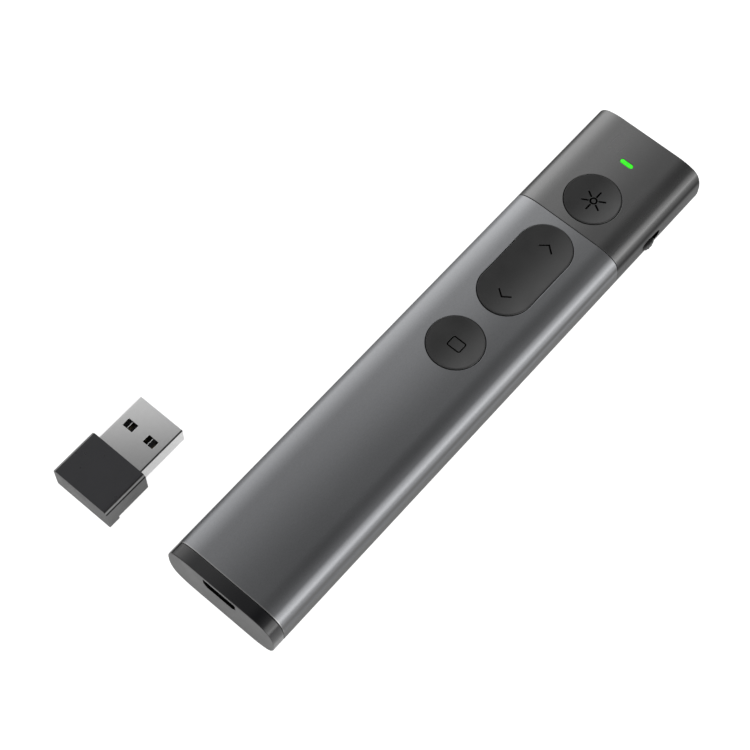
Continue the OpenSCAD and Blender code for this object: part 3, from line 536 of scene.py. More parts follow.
def anodised(name, look):
    work = Finish(name, {"Metallic": 1.0, "Roughness": look["rough"], "Specular Tint": shade(look["edge"])})
    grain = work.noise(look["grain"], 3.0, (2.2, 1, 1))  # longer along the tube, as the clouds are
    cloud = work.noise(look["cloud"], 2.0, (3, 1, 1))
    tone = work.spread(work.blend(grain, cloud, 0.7), 0.0, 1.0)

    # The two tones of the grain, raised by so many levels and turned a little towards blue
    def skin(raised):
        levels = (look[key] + raised for key in ("dark", "light"))
        return work.mix(tone, *(shade(k - look["cool"], k, k + 2 * look["cool"]) for k in levels))

    length, height = work.axis("X"), work.axis("Z")
    base = skin(0)
    # Painted light: the sleeve is painted paler towards the head, standing in for brighter light there
    if "rise" in look:  # the sleeve's tone rises gently towards the head
        start, stop, gained = look["rise"]
        base = work.mix(work.past(length, start, stop), base, skin(gained))
    # Painted highlight: the cut edge at the cap is bare metal, made paler to stand in for the light its rim
    # catches
    if "bareEdgeHighlight" in look:  # cut edge at the cap, where the anodising is trimmed off
        full, none, level = look["bareEdgeHighlight"]
        base = work.mix(work.until(length, full, none), base, shade(level))
    # Along both sides, painted reflections: a painted dark band under the shoulder and a painted pale
    # reflection below it
    side = work.times(work.until(length, *paintedSideReach["x"]), work.past(work.aside(), *paintedSideReach["y"]))
    full, none, level = look["foot"]
    base = work.mix(work.times(side, work.until(height, full, none)), base, shade(level))
    rise, start, stop, fall, level = look["band"]
    within = work.times(work.past(height, rise, start), work.until(height, stop, fall))
    base = work.mix(work.times(within, side), base, shade(level))
    # Painted shade: the cut walls of the knob's slot are painted near black for the shade inside it
    if "slot" in look:  # the cut walls of the knob's slot are blackened
        base = work.mix(work.inBox(look["slot"]), base, shade(look["blacked"]))
    work.set({"Base Color": base, "Roughness": work.about(cloud, look["rough"], 0.03)})
    work.crown(**crownLook)
    work.bump(grain, look["relief"])
    return work.material


# Body: a quarter of the section runs from the middle of a side over three arcs to the middle of the top
hull = {
    "halfWidth": 14.0, "halfHeight": 6.2, "radii": (8.0, 3.4, 12.0), "turns": (22.0, 50.0, 18.0),
    "sideSteps": 2, "arcSteps": (8, 14, 6), "topSteps": 15,
}


# An arc takes up r (cos b2 - cos b1) of the height and r (sin b1 - sin b2) of the width between its
# bearings; what is left of both is flat
def hullOutline():
    bearings = np.radians(90 - np.cumsum((0,) + hull["turns"]))
    radii = np.array(hull["radii"])
    rise = (radii * (np.cos(bearings[1:]) - np.cos(bearings[:-1]))).sum()
    shift = (radii * (np.sin(bearings[:-1]) - np.sin(bearings[1:]))).sum()
    topFlat = hull["halfWidth"] - shift
    arcs = [(r * math.radians(t), t) for r, t in zip(hull["radii"], hull["turns"])]
    quarter = [(hull["halfHeight"] - rise, 0)] + arcs + [(topFlat, 0)]
    counts = [hull["sideSteps"], *hull["arcSteps"], hull["topSteps"]]
    outline = makeOutline((hull["halfWidth"], 0.0), 90, (quarter + quarter[::-1]) * 2)
    return outline, outlineSteps(outline, (counts + counts[::-1]) * 2), topFlat


bodyOutline, bodySteps, topFlat = hullOutline()
topAt = bodyOutline["length"] / 4
sideAt = bodyOutline["length"] / 2
underAt = 3 * topAt
onTop = (topAt - topFlat, topAt + topFlat)
bodyCentre = (0.0, hull["halfHeight"])

# Sleeve: windows for the screen button, the rocker and, underneath, the receiver bay
sleeve = {
    "marks": [-65.7, -65.55, -65.4, -56.4, -24.2, -5.3, 10.4, 11.2, 39.1, 39.55, 39.7],
    "steps": [1, 1, 8, 54, 14, 34, 1, 56, 2, 1], "wall": 1.0, "edge": 0.1, "bayCells": 10.2,
    "screenHole": {"x": (-5.3, 10.4), "middle": 2.55, "half": (6.32, 6.32), "corner": 6.32, "edge": 0.12},
    "rockerHole": {"x": (11.2, 39.1), "middle": 25.3, "half": (12.52, 6.32), "corner": 6.32, "edge": 0.12},
    "bayHole": {"x": (-56.4, -24.2), "middle": -40.275, "half": (14.625, 8.702), "corner": 1.7, "edge": 0.12},
}


def sleevePiece():
    holes = [dict(sleeve[key], s=onTop, at=topAt) for key in ("screenHole", "rockerHole")]
    holes.append(dict(sleeve["bayHole"], s=bothSides(bodySteps, underAt, sleeve["bayCells"]), at=underAt))
    wall = tubeWall(bodyOutline, bodySteps, sleeve, holes, bodyCentre)
    piece = makePiece("sleeve", wall, anodised("sleeveMetal", sleeveLook))
    takeOver(piece, "clicker", "sleeve_metal", "body_sleeve")


# Head: closed by a flat front with a small round and a hole for the laser window. "shares" lead over the
# front from its outline to the hole, and "rim" is the hole's wall as (depth, radius).
head = {
    "marks": [39.82, 39.95, 40.6, 47.6, 55.7, 58.7, 61.3, 68.2, 68.46, 68.8],
    "steps": [1, 1, 14, 18, 3, 8, 10, 1, 1], "wall": 1.2, "edge": 0.1, "round": 0.3, "slotCells": 3.0,
    "buttonHole": {"x": (40.6, 55.7), "middle": 48.101, "half": (6.32, 6.32), "corner": 6.32, "edge": 0.12},
    "lightHole": {"x": (58.7, 61.3), "middle": 60.0, "half": (0.575, 1.65), "corner": 0.575, "edge": 0.06},
    "slotHole": {"x": (47.6, 55.7), "middle": 51.65, "half": (2.95, 1.5005), "corner": 1.5, "edge": 0.1},
    "holeZ": 5.0, "shares": (0.02, 0.35, 0.7, 0.98, 1.0),
    "rim": ((0.0, 2.37), (0.06, 2.29), (0.14, 2.25), (1.2, 2.25)),
    "rails": {"x": (59.0, 67.2), "y": 11.9, "half": 1.1, "z": (7.4, 8.2), "round": 0.1},
}


def headPiece():
    front, wall, turn, rim = head["marks"][-1], head["wall"], head["round"], head["rim"]
    middle = np.array((0.0, head["holeZ"] - bodyCentre[1]))
    point, out = outlineAt(bodyOutline, bodySteps)

    # Loop on the front: (1 - t) outline + t circle, the circle's points at the outline's bearings
    def frontLoop(x, inset, t, radius=rim[-1][1]):
        outer = point - inset * out
        away = outer - middle
        inner = middle + radius * away / np.linalg.norm(away, axis=1, keepdims=True)
        return atX(x, (1 - t) * outer + t * inner + np.array(bodyCentre))

    inward, along = quarterRound(turn, 7)
    end = [frontLoop(front - turn + a, i, 0.0) for i, a in zip(inward, along)]
    end += [frontLoop(front, turn, t, rim[0][1]) for t in head["shares"]]
    end += [frontLoop(front - depth, turn, 1.0, radius) for depth, radius in rim[1:]]
    end += [frontLoop(front - wall, wall, t) for t in (0.5, 0.0)]
    holes = [dict(head[key], s=onTop, at=topAt) for key in ("buttonHole", "lightHole")]
    holes.append(dict(head["slotHole"], s=bothSides(bodySteps, sideAt, head["slotCells"]), at=sideAt))
    shell = tubeWall(bodyOutline, bodySteps, head, holes, bodyCentre, end)
    rails = head["rails"]
    for y in (-rails["y"], rails["y"]):
        low, high = zip(rails["x"], (y - rails["half"], y + rails["half"]), rails["z"])
        shell.append(roundedBox(low, high, rails["round"]))
    piece = makePiece("head", shell, anodised("headMetal", headLook))
    takeOver(piece, "clicker", "head_metal", "head_shell")


# End cap: gloss on its band, a light spark texture on its flat rear face, painted shade, near black, in the
# port's mouth.
# The last five entries are the marks in mm between which the finishes change over.
capLook = {
    "gloss": (9, 7), "face": (98, 89), "mouth": 10, "glossShine": 0.62, "faceShine": 0.3, "glossRough": 0.2,
    "faceRough": 0.5, "mouthRough": 0.6, "grain": 0.16, "relief": 0.004, "cloud": 5.0,
    "back": (-68.79, -68.7), "deep": (-68.795, -68.775), "over": (8.2, 8.3), "under": (11.4, 11.45),
    "beside": (4.4, 4.45),
}


def capFinish():
    look = capLook
    work = Finish("capPlastic", {"Roughness": look["glossRough"], "IOR": 1.5})
    length, height = work.axis("X"), work.axis("Z")
    back = work.until(length, *look["back"])
    grain = work.noise(look["grain"], 3.0)
    cloud = work.noise(look["cloud"])
    gloss = work.tones(cloud, *(shade(k, k, k + 3) for k in look["gloss"]))
    face = work.tones(grain, *(shade(k) for k in look["face"]))
    # Painted shade: the port's inner walls are painted near black, with no gloss
    level = work.times(work.past(height, *look["over"]), work.until(height, *look["under"]))
    mouth = work.times(work.past(length, *look["deep"]), level)
    mouth = work.times(mouth, work.until(work.aside(), *look["beside"]))
    matt = work.times(back, look["faceRough"] - look["glossRough"])
    added = work.maths("MAXIMUM", matt, work.times(mouth, look["mouthRough"]))
    shine = work.spread(back, look["glossShine"], look["faceShine"], 0.0, 1.0)
    work.set({
        "Base Color": work.mix(mouth, work.mix(back, gloss, face), shade(look["mouth"])),
        "Roughness": work.maths("ADD", work.about(cloud, look["glossRough"], 0.03), added),
        "Specular IOR Level": work.times(work.maths("SUBTRACT", 1.0, mouth), shine),
    })
    work.crown(**crownLook)
    work.bump(work.times(grain, back), look["relief"])
    return work.material


# "shares" lead over the rear face to the port, "rim" is the port's edge as (depth, growth of the opening),
# and "collar" is the strip (x, inset) that reaches round the lower part inside the sleeve
cap = {
    "front": -65.82, "rear": -68.8, "frontRound": 0.06, "rearRound": 0.2,
    "marks": (-66.0, -67.2, -68.4, -68.55),
    "shares": (0.03, 0.35, 0.7), "rim": ((0.0, 0.16), (0.0, 0.12), (0.04, 0.035), (0.12, 0.0)),
    "port": {"low": 2.32, "high": 5.1, "half": 4.15, "cut": 0.9, "middle": 3.75},
    "collar": [(-66.6, 1.1), (-61.8, 1.1), (-61.7, 1.2), (-61.7, 1.9), (-61.8, 2.0), (-66.6, 2.0)],
    "collarReach": 2.0,
}


# Port opening: its six corners stand at the hull points nearest in bearing, straight lines between them
def portLoop(points, grow=0.0):
    port = cap["port"]
    low, high, half, cut = port["low"] - grow, port["high"] + grow, port["half"] + grow, port["cut"]
    corners = np.array([
        (half, low + cut), (half, high), (-half, high),
        (-half, low + cut), (-half + cut, low), (half - cut, low),
    ])
    middle = np.array([0.0, port["middle"]])
    bearing = np.unwrap(np.arctan2(*(points - middle).T[::-1]))
    turn = np.mod(np.arctan2(*(corners - middle).T[::-1]) - bearing[0], 2 * math.pi)
    order = np.argsort(turn)
    stops = [int(np.argmin(abs(bearing - bearing[0] - t))) for t in turn[order]]
    ring = corners[np.append(order, order[0])]
    index = stops[0] + np.arange(len(points))
    marks = stops + [stops[0] + len(points)]
    loop = np.column_stack([np.interp(index, marks, ring[:, k]) for k in (0, 1)])
    return np.roll(loop, stops[0], axis=0)


# Collar: the strip carried round the lower part of the hull; point = outline - inset * outward direction
def collarBand():
    point, out = outlineAt(bodyOutline, bodySteps)
    end = 2 * underAt - sideAt
    low = np.flatnonzero((bodySteps > sideAt - cap["collarReach"]) & (bodySteps < end + cap["collarReach"]))
    strip = np.array(cap["collar"])
    flat = point[low, None] - strip[:, 1:] * out[low, None] + np.array(bodyCentre)
    return closedLoft([np.column_stack([strip[:, 0], ring]) for ring in flat])


# Cap: the profile (x, inset) goes over the band and the rear face, where loops turn from the outline into
# the port's opening, (1 - t) outline + t opening, and back inside
def capPiece():
    front, rear, turn = cap["front"], cap["rear"], cap["rearRound"]
    point, out = outlineAt(bodyOutline, bodySteps)

    def loop(x, inset, t=0.0, grow=0.0):
        outer = point - inset * out
        return atX(x, (1 - t) * outer + t * portLoop(outer, grow) + np.array(bodyCentre))

    inward, along = quarterRound(cap["frontRound"], 2)
    rows = [loop(front - cap["frontRound"] + a, i) for i, a in zip(inward[::-1], along[::-1])]
    rows += [loop(x, 0.0) for x in cap["marks"]]
    inward, along = quarterRound(turn, 5)
    rows += [loop(rear + turn - a, i) for i, a in zip(inward, along)]
    rows += [loop(rear, turn, t) for t in cap["shares"]]
    rows += [loop(rear + depth, turn, 1.0, grow) for depth, grow in cap["rim"]]
    rows += [loop(front, turn, t) for t in (1.0, 0.5)]
    piece = makePiece("endCap", [loft(rows, closeRows=True), collarBand()], capFinish())
    takeOver(piece, "clicker", "cap_plastic", "end_cap")


sleevePiece()
headPiece()
capPiece()
print("body: sleeve, head and cap made")


# Buttons

# Matt rubber-like coat: soft grain, sunk marks darker than the crown
rubberLook = {
    "light": 43, "dark": 37, "mark": 3, "shine": 0.5, "rough": 0.42, "hollow": -1.3, "grain": 0.09,
    "cloud": 4.0, "relief": 0.003,
}


def rubberFinish():
    look = rubberLook
    work = Finish("buttonRubber", {"Roughness": look["rough"]})
    grain = work.noise(look["grain"], 2.0)
    cloud = work.noise(look["cloud"])
    skin = work.tones(work.blend(grain, cloud, 0.6), shade(look["dark"]), shade(look["light"]))
    ink = work.spread(work.own("sunk"), 0.0, 1.0, 0.15, 0.6)
    work.set({
        "Base Color": work.mix(ink, skin, shade(look["mark"])),
        "Specular IOR Level": work.times(work.maths("SUBTRACT", 1.0, ink), look["shine"]),
        "Roughness": work.about(cloud, look["rough"], 0.05),
    })
    work.crown(**dict(crownLook, depth=look["hollow"]))
    work.bump(grain, look["relief"])
    return work.material


# Distance from points to a polyline: |P - A - t (B - A)|, t held between 0 and 1, the least of its parts
def lineDistance(x, y, corners):
    best = np.full(x.shape, 1e9)
    for (ax, ay), (bx, by) in zip(corners, corners[1:]):
        dx, dy = bx - ax, by - ay
        share = np.clip(((x - ax) * dx + (y - ay) * dy) / (dx * dx + dy * dy), 0, 1)
        best = np.minimum(best, np.hypot(x - ax - share * dx, y - ay - share * dy))
    return best


# Distance to the line of a rounded rectangle: | |max(q, 0)| + min(max(q), 0) - r |,
# where q = |P - middle| - half + r
def frameDistance(x, y, middle, half, corner):
    ax = np.abs(x - middle[0]) - half[0] + corner
    ay = np.abs(y - middle[1]) - half[1] + corner
    outside = np.hypot(np.maximum(ax, 0), np.maximum(ay, 0))
    return np.abs(outside + np.minimum(np.maximum(ax, ay), 0) - corner)


# Sunk marks: "line" is half the width of their lines, "box" the fine grid's reach (x0, x1, y0, y1)
screenMark = {
    "middle": (2.43, -0.35), "half": (1.22, 1.6), "corner": 0.35, "line": 0.12, "box": (-1.7, 1.5, -2.3, 1.7),
}
laserMark = {
    "middle": (48.0, -0.35), "ring": 0.7, "rays": (1.22, 2.55), "count": 6, "line": 0.185,
    "box": (-3.2, 3.0, -3.4, 2.7),
}
pageMark = {
    "front": [(31.9, 1.5), (33.2, -0.1), (31.9, -1.7)], "rear": [(18.25, 1.3), (17.05, -0.3), (18.25, -1.85)],
    "line": 0.16, "box": (-9.2, 9.2, -2.4, 2.1),
}


def screenDistance(x, y):
    return frameDistance(x, y, screenMark["middle"], screenMark["half"], screenMark["corner"])


# A ring and rays: the least of |r - ring| and the distance to each ray's line
def laserDistance(x, y):
    middle = np.array(laserMark["middle"])
    best = np.abs(np.hypot(x - middle[0], y - middle[1]) - laserMark["ring"])
    for ray in circle(laserMark["count"]):
        best = np.minimum(best, lineDistance(x, y, [middle + reach * ray for reach in laserMark["rays"]]))
    return best


def pageDistance(x, y):
    return np.minimum(lineDistance(x, y, pageMark["front"]), lineDistance(x, y, pageMark["rear"]))


# Crown of a button: a fine grid over the mark's box, then rings out to the pill-shaped edge.
# Height = rim - dish + R - sqrt(R^2 - r^2) - round at the edge - sunk mark, r from the middle.
def crown(look, distance, line):
    cx, radius, turn = look["x"], look["radius"], look["round"]
    reach = look["spacing"] / 2
    x0, x1, y0, y1 = look["box"]
    gx = np.linspace(cx + x0, cx + x1, look["cells"][0])
    gy = np.linspace(y0, y1, look["cells"][1])
    sphere = (look["dishReach"] ** 2 + look["dish"] ** 2) / (2 * look["dish"])

    def height(x, y):
        away = np.hypot(x - cx, y)
        toEdge = radius - np.hypot(x - cx - np.clip(x - cx, -reach, reach), y)
        over = np.clip(turn - toEdge, 0, turn)
        drop = turn - np.sqrt(np.maximum(turn ** 2 - over ** 2, 0))
        sunk = np.clip((line - distance(x, y)) / look["slope"] + 0.5, 0, 1)
        sunk = sunk * sunk * (3 - 2 * sunk)
        dish = look["dish"] - sphere + np.sqrt(sphere ** 2 - away ** 2)
        return look["rim"] - dish - drop - look["deep"] * sunk, sunk

    mx, my = np.meshgrid(gx, gy, indexing="ij")
    mz, sunk = height(mx, my)
    centrePoints = np.stack([mx, my, mz], axis=-1).reshape(-1, 3)
    centreQuads = gridQuads(len(gx), len(gy), closeColumns=False)
    border = borderOf(gx, gy)
    anchor = atHeight(np.clip(border[:, :1] - cx, -reach, reach) + cx, 0.0)
    out = border - anchor
    out = out / np.linalg.norm(out, axis=1, keepdims=True)
    edge = anchor + radius * out
    flats = [edge + share * (border - edge) for share in (1.0, 0.8, 0.6, 0.42, 0.26, 0.14)]
    flats += [edge - turn * (1 - math.sin(a)) * out for a in np.radians((0, 15, 30, 45, 60, 75, 84, 90))]
    loops = [np.column_stack([flat, height(*flat.T)[0]]) for flat in flats]
    loops += [atHeight(edge + offset * out, z) for offset, z in look["below"]]
    rings = loft(loops + [closeToMiddle(loops[-1])])
    values = np.concatenate([sunk.reshape(-1), np.zeros(len(rings[0]))])
    return [(centrePoints, centreQuads), rings], values


# "below" carries a button's side on as (offset from the edge, z): skirt, flange and hollow. A round
# button's "flange" is measured up from its own bottom instead.
roundButton = {
    "spacing": 0.0, "radius": 6.2, "rim": 12.6, "dish": 0.3, "dishReach": 5.95, "round": 0.25,
    "deep": 0.14, "slope": 0.08, "skirt": [(0.0, 11.9)],
    "flange": [(0.0, 0.5), (0.5, 0.5), (0.55, 0.45), (0.55, 0.05), (0.5, 0.0), (-0.85, 0.0), (-0.9, 0.05)],
    "hollow": [(-0.9, 11.4), (-5.1, 11.4), (-5.1, 10.35)],
}
screenButton = {"x": 2.55, "box": screenMark["box"], "cells": (56, 70), "bottom": 10.85}
laserButton = {"x": 48.101, "box": laserMark["box"], "cells": (104, 102), "bottom": 10.65}
rocker = {
    "x": 25.3, "spacing": 12.4, "radius": 6.2, "rim": 12.75, "dish": 0.5, "dishReach": 12.4, "round": 0.25,
    "deep": 0.14, "slope": 0.08, "box": pageMark["box"], "cells": (250, 62),
    "below": [
        (0.0, 11.8), (0.0, 9.85), (-0.1, 9.74), (-0.85, 9.74), (-0.9, 9.8), (-0.9, 11.05), (-2.2, 11.05),
    ],
    "nubAt": 6.2, "nub": [(1.05, 10.4), (1.1, 10.45), (1.1, 11.2)],
    "boxes": [
        ((24.1, -6.1, 10.95), (26.5, 6.1, 11.2), 0.05), ((24.1, -6.1, 9.35), (24.72, 6.1, 11.1), 0.08),
        ((25.88, -6.1, 9.35), (26.5, 6.1, 11.1), 0.08),
    ],
}


def roundLook(button):
    look = {**roundButton, **button}
    flange = [(offset, look["bottom"] + up) for offset, up in look["flange"]]
    return {**look, "below": look["skirt"] + flange + look["hollow"]}


def buttonPieces():
    rubber = rubberFinish()
    fittings = [turned(rocker["x"] + k * rocker["nubAt"], 0.0, rocker["nub"]) for k in (-1, 1)]
    fittings += [roundedBox(*box) for box in rocker["boxes"]]
    for name, node, look, distance, mark, extra in (
        ("screenCap", "screen_button", roundLook(screenButton), screenDistance, screenMark, []),
        ("laserCap", "laser_button", roundLook(laserButton), laserDistance, laserMark, []),
        ("rockerCap", "page_rocker", rocker, pageDistance, pageMark, fittings),
    ):
        surfaces, sunk = crown(look, distance, mark["line"])
        sunk = np.concatenate([sunk] + [np.zeros(len(points)) for points, _ in extra])
        piece = makePiece(name, surfaces + extra, rubber, values={"sunk": sunk})
        takeOver(piece, node, "button_rubber", node)


buttonPieces()
print("buttons made")


# A pill along one of its two axes: edge = spine + radius (cos a, sin a), where the spine is
# cos a * steep (or sin a * steep) held within the reach
def pill(count, radius, reach, steep, axis=0):
    ring = circle(count)
    spine = np.zeros_like(ring)
    spine[:, axis] = np.clip(ring[:, axis] * steep, -reach, reach)
    return spine + radius * ring, spine


# Power knob: a pill in XZ whose face arches along the slot and is ribbed across.
# Depth = tip - rise (2 u / length)^2 - groove (1 - |sin(pi ribs (u / length + 1/2))|)^2 - round at the edge.
knob = {
    "x": 50.6006, "z": 6.2, "length": 3.5, "height": 2.0, "tip": 14.7, "rise": 0.385, "ribs": 4,
    "groove": 0.18, "round": 0.3, "roundFrom": 0.7, "inner": (13.6, 12.4),
    "lever": ((49.8, -12.7, 5.7), (51.4, -10.6, 6.7), 0.08),
}
knobLook = {"light": (22,), "dark": (15,), "rough": 0.42, "grain": 0.1, "relief": 0.003}


def knobPiece():
    length, start = knob["length"], knob["roundFrom"]
    edge, spine = pill(160, knob["height"] / 2, (length - knob["height"]) / 2, length / 2)
    shares = np.append(np.linspace(0.0, 0.85, 32), 0.85 + 0.15 * np.sin(np.linspace(0.2, math.pi / 2, 8)))

    def upright(flat, depth):
        y = np.broadcast_to(-depth, len(flat))
        return np.column_stack([knob["x"] + flat[:, 0], y, knob["z"] + flat[:, 1]])

    loops = []
    for share in shares:
        flat = spine + share * (edge - spine)
        arch = knob["rise"] * (2 * flat[:, 0] / length) ** 2
        wave = np.abs(np.sin(math.pi * knob["ribs"] * (flat[:, 0] / length + 0.5)))
        groove = knob["groove"] * (1 - wave) ** 2
        over = np.clip((share - start) / (1 - start), 0, 1)
        drop = knob["round"] * (1 - math.sqrt(1 - over ** 2))
        loops.append(upright(flat, knob["tip"] - arch - groove - drop))
    loops += [upright(edge, np.array(depth)) for depth in knob["inner"]]
    surfaces = [loft(loops + [closeToMiddle(loops[-1])]), roundedBox(*knob["lever"])]
    piece = makePiece("powerKnob", surfaces, plainFinish("knobPlastic", knobLook))
    takeOver(piece, "power_knob", "knob_plastic", "power_knob")


# Light: a clear green bar lit from below. "top" is its face as (share out to the edge, z); it stands on a
# wider foot, and "stem" is the part below that.
light = {
    "x": 60.0, "length": 3.2, "width": 1.05, "steep": (6.4, 8), "footRadius": 1.0, "footReach": 1.3,
    "top": [(0.0, 12.4), (0.5, 12.4), (0.8, 12.39), (0.92, 12.36), (1.0, 12.28), (1.0, 11.2)],
    "foot": (11.2, 10.7), "stem": (10.7, 9.7),
}
lightLook = {
    "glow": 0.74, "rough": 0.25, "cloud": 0.8, "lit": ((44, 226, 22), (66, 244, 38)),
    "own": ((24, 150, 12), (30, 170, 18)),
}


def lightPiece():
    radius, steep = light["width"] / 2, light["steep"]
    edge, spine = pill(96, radius, light["length"] / 2 - radius, steep[0], 1)
    foot, _ = pill(96, light["footRadius"], light["footReach"], steep[1], 1)
    flats = [(spine + share * (edge - spine), z) for share, z in light["top"]]
    flats += [(foot, z) for z in light["foot"]] + [(edge, z) for z in light["stem"]]
    loops = [atHeight(flat + np.array([light["x"], 0.0]), z) for flat, z in flats]
    work = Finish("litPlastic", {"Roughness": lightLook["rough"], "Emission Strength": lightLook["glow"]})
    cloud = work.noise(lightLook["cloud"])
    for label, levels in (("Emission Color", lightLook["lit"]), ("Base Color", lightLook["own"])):
        work.set({label: work.tones(cloud, *(shade(*level) for level in levels))})
    piece = makePiece("lightBar", [loft(loops + [closeToMiddle(loops[-1])])], work.material)
    takeOver(piece, "clicker", "lit_plastic", "light_pipe")


knobPiece()
lightPiece()
print("knob and light made")

# Receiver: a satin cover with bevelled upper edges over a folded steel plug. The cover's "marks" are
# stations from its rear end; its mouth for the plug leads back to the "pocket". A point is on a bevel by
# its share of the way down it ("bevelDown") and by how far it faces up ("bevelUp").
cover = {
    "y": 36.9, "rear": -70.45, "front": -59.15, "half": 7.5, "low": 1.0, "high": 6.95, "bevel": 0.7,
    "crisp": 0.2, "endRound": 0.1, "marks": (0.13, 4, 8, 11.17),
    "steps": [8, 4, 10, 4, 12, 12, 4, 10, 4, 8, 5, 12, 12, 5],
    "mouthHalf": (6.05, 2.3), "mouthCorner": 0.35, "mouthShares": (0.1, 0.85, 1.0),
    "pocket": (-59.25, -68.75), "bevelDown": (-0.01, 1.25), "bevelUp": (0.05, 0.99),
    "glint": 0.24, "farGlint": 0.8,
    "lip": ((-70.43, 29.42, 0.0), (-67.6, 44.38, 1.6), 0.12),
}
plug = {
    "low": 1.72, "high": 6.22, "half": 6.0, "corner": 0.3, "round": [7, 6, 24, 24, 6],
    "marks": [-65.65, -65.5, -54.9, -51.0, -47.0, -46.9, -46.8], "steps": [1, 8, 12, 6, 1, 1],
    "wall": 0.3, "edge": 0.08,
    "hole": {"x": (-54.9, -51.0), "middle": -52.95, "half": (0.975, 1.33), "corner": 0.12, "edge": 0.05},
    "holeAt": 2.85, "holeCells": (0.9, 4.8),
    "springs": {"x": (-54.1, -51.8), "y": (34.32, 40.02), "half": 0.07, "z": (5.62, 5.78), "round": 0.03},
}
coverMiddle = np.array([cover["y"], (cover["high"] + cover["low"]) / 2])
plugMiddle = np.array([cover["y"], (plug["high"] + plug["low"]) / 2])


# Outline of the cover: straight sides, small rounds at its two bevels' edges and lower corners. A round
# of radius r that turns by 45 degrees takes up r tan(22.5 degrees) of the straight parts beside it.
def coverOutline():
    r, half, bevel = cover["crisp"], cover["half"], cover["bevel"]
    height = cover["high"] - cover["low"]
    slim = r * math.tan(math.radians(22.5))
    side = height - bevel - slim - r
    slope = bevel * math.sqrt(2) - 2 * slim
    flat = half - bevel - slim
    soft, square = ((r * math.radians(turn), turn) for turn in (45, 90))
    shoulder = [soft, (slope, 0), soft]
    parts = [(side, 0), *shoulder, (flat, 0), (flat, 0), *shoulder, (side, 0)]
    parts += [square, (half - r, 0), (half - r, 0), square]
    outline = makeOutline((half, r - height / 2), 90, parts)
    return outline, outlineSteps(outline, cover["steps"])


# Outline of the plug: a rounded rectangle, whose flats are what its corners leave
def plugOutline():
    r = plug["corner"]
    flat = (plug["half"] - r, 0)
    halfZ = (plug["high"] - plug["low"]) / 2 - r
    turn = (r * math.radians(90), 90)
    outline = makeOutline((plug["half"], -halfZ), 90, [(2 * halfZ, 0), turn, flat, flat, turn] * 2)
    return outline, outlineSteps(outline, plug["round"] * 2)


# "under" and "back" are the marks in mm where the top's tone gives way to that of the sides and the rear
coverLook = {
    # "shine" is the level of the bevels' painted highlight and "line" that of their painted dark reflections
    "light": 40, "dark": 36, "side": (89, 105), "line": 4, "shine": 125, "rough": (0.26, 0.36),
    "sideRough": 0.3, "lineRough": 0.5, "grain": 0.16, "cloud": 4.0, "relief": 0.0012,
    "under": (6.1, 6.2), "back": (-70.44, -70.42),
}


def coverFinish():
    look = coverLook
    work = Finish("coverPlastic", {"Roughness": look["rough"][0], "IOR": 1.5})
    grain = work.noise(look["grain"], 3.0)
    cloud = work.noise(look["cloud"])
    skin = work.tones(grain, *(shade(k - 1, k - 1, k + 2) for k in (look["dark"], look["light"])))
    matt = work.tones(grain, *(shade(k) for k in look["side"]))
    under = work.until(work.axis("Z"), *look["under"])
    beside = work.maths("MAXIMUM", under, work.until(work.axis("X"), *look["back"]))
    # Painted light on the bevels: a painted highlight line between painted dark reflections
    line = work.own("paintedBevelDark")
    bevel = work.mix(work.own("paintedBevelHighlight"), work.mix(beside, skin, matt), shade(look["shine"]))
    rough = work.maths("ADD", work.spread(cloud, *look["rough"]), work.times(beside, look["sideRough"]))
    work.set({
        "Base Color": work.mix(line, bevel, shade(look["line"])),
        "Roughness": work.maths("ADD", rough, work.times(line, look["lineRough"])),
    })
    work.bump(grain, look["relief"])
    return work.material


# Mouth for the plug at a ring's bearings: the ring's points drawn to a rectangle about the plug's middle,
# then point = c + r (P - c) / |P - c| at its corners, where c is P clamped to the rectangle shrunk by r
def plugMouth(ring):
    half, r = np.array(cover["mouthHalf"]), cover["mouthCorner"]
    away = ring - plugMiddle
    square = away * np.min(half / np.maximum(np.abs(away), 1e-9), axis=1, keepdims=True)
    anchor = np.clip(square, r - half, half - r)
    off = square - anchor
    length = np.linalg.norm(off, axis=1, keepdims=True)
    return plugMiddle + np.where(length > 1e-6, anchor + r * off / np.maximum(length, 1e-6), square)


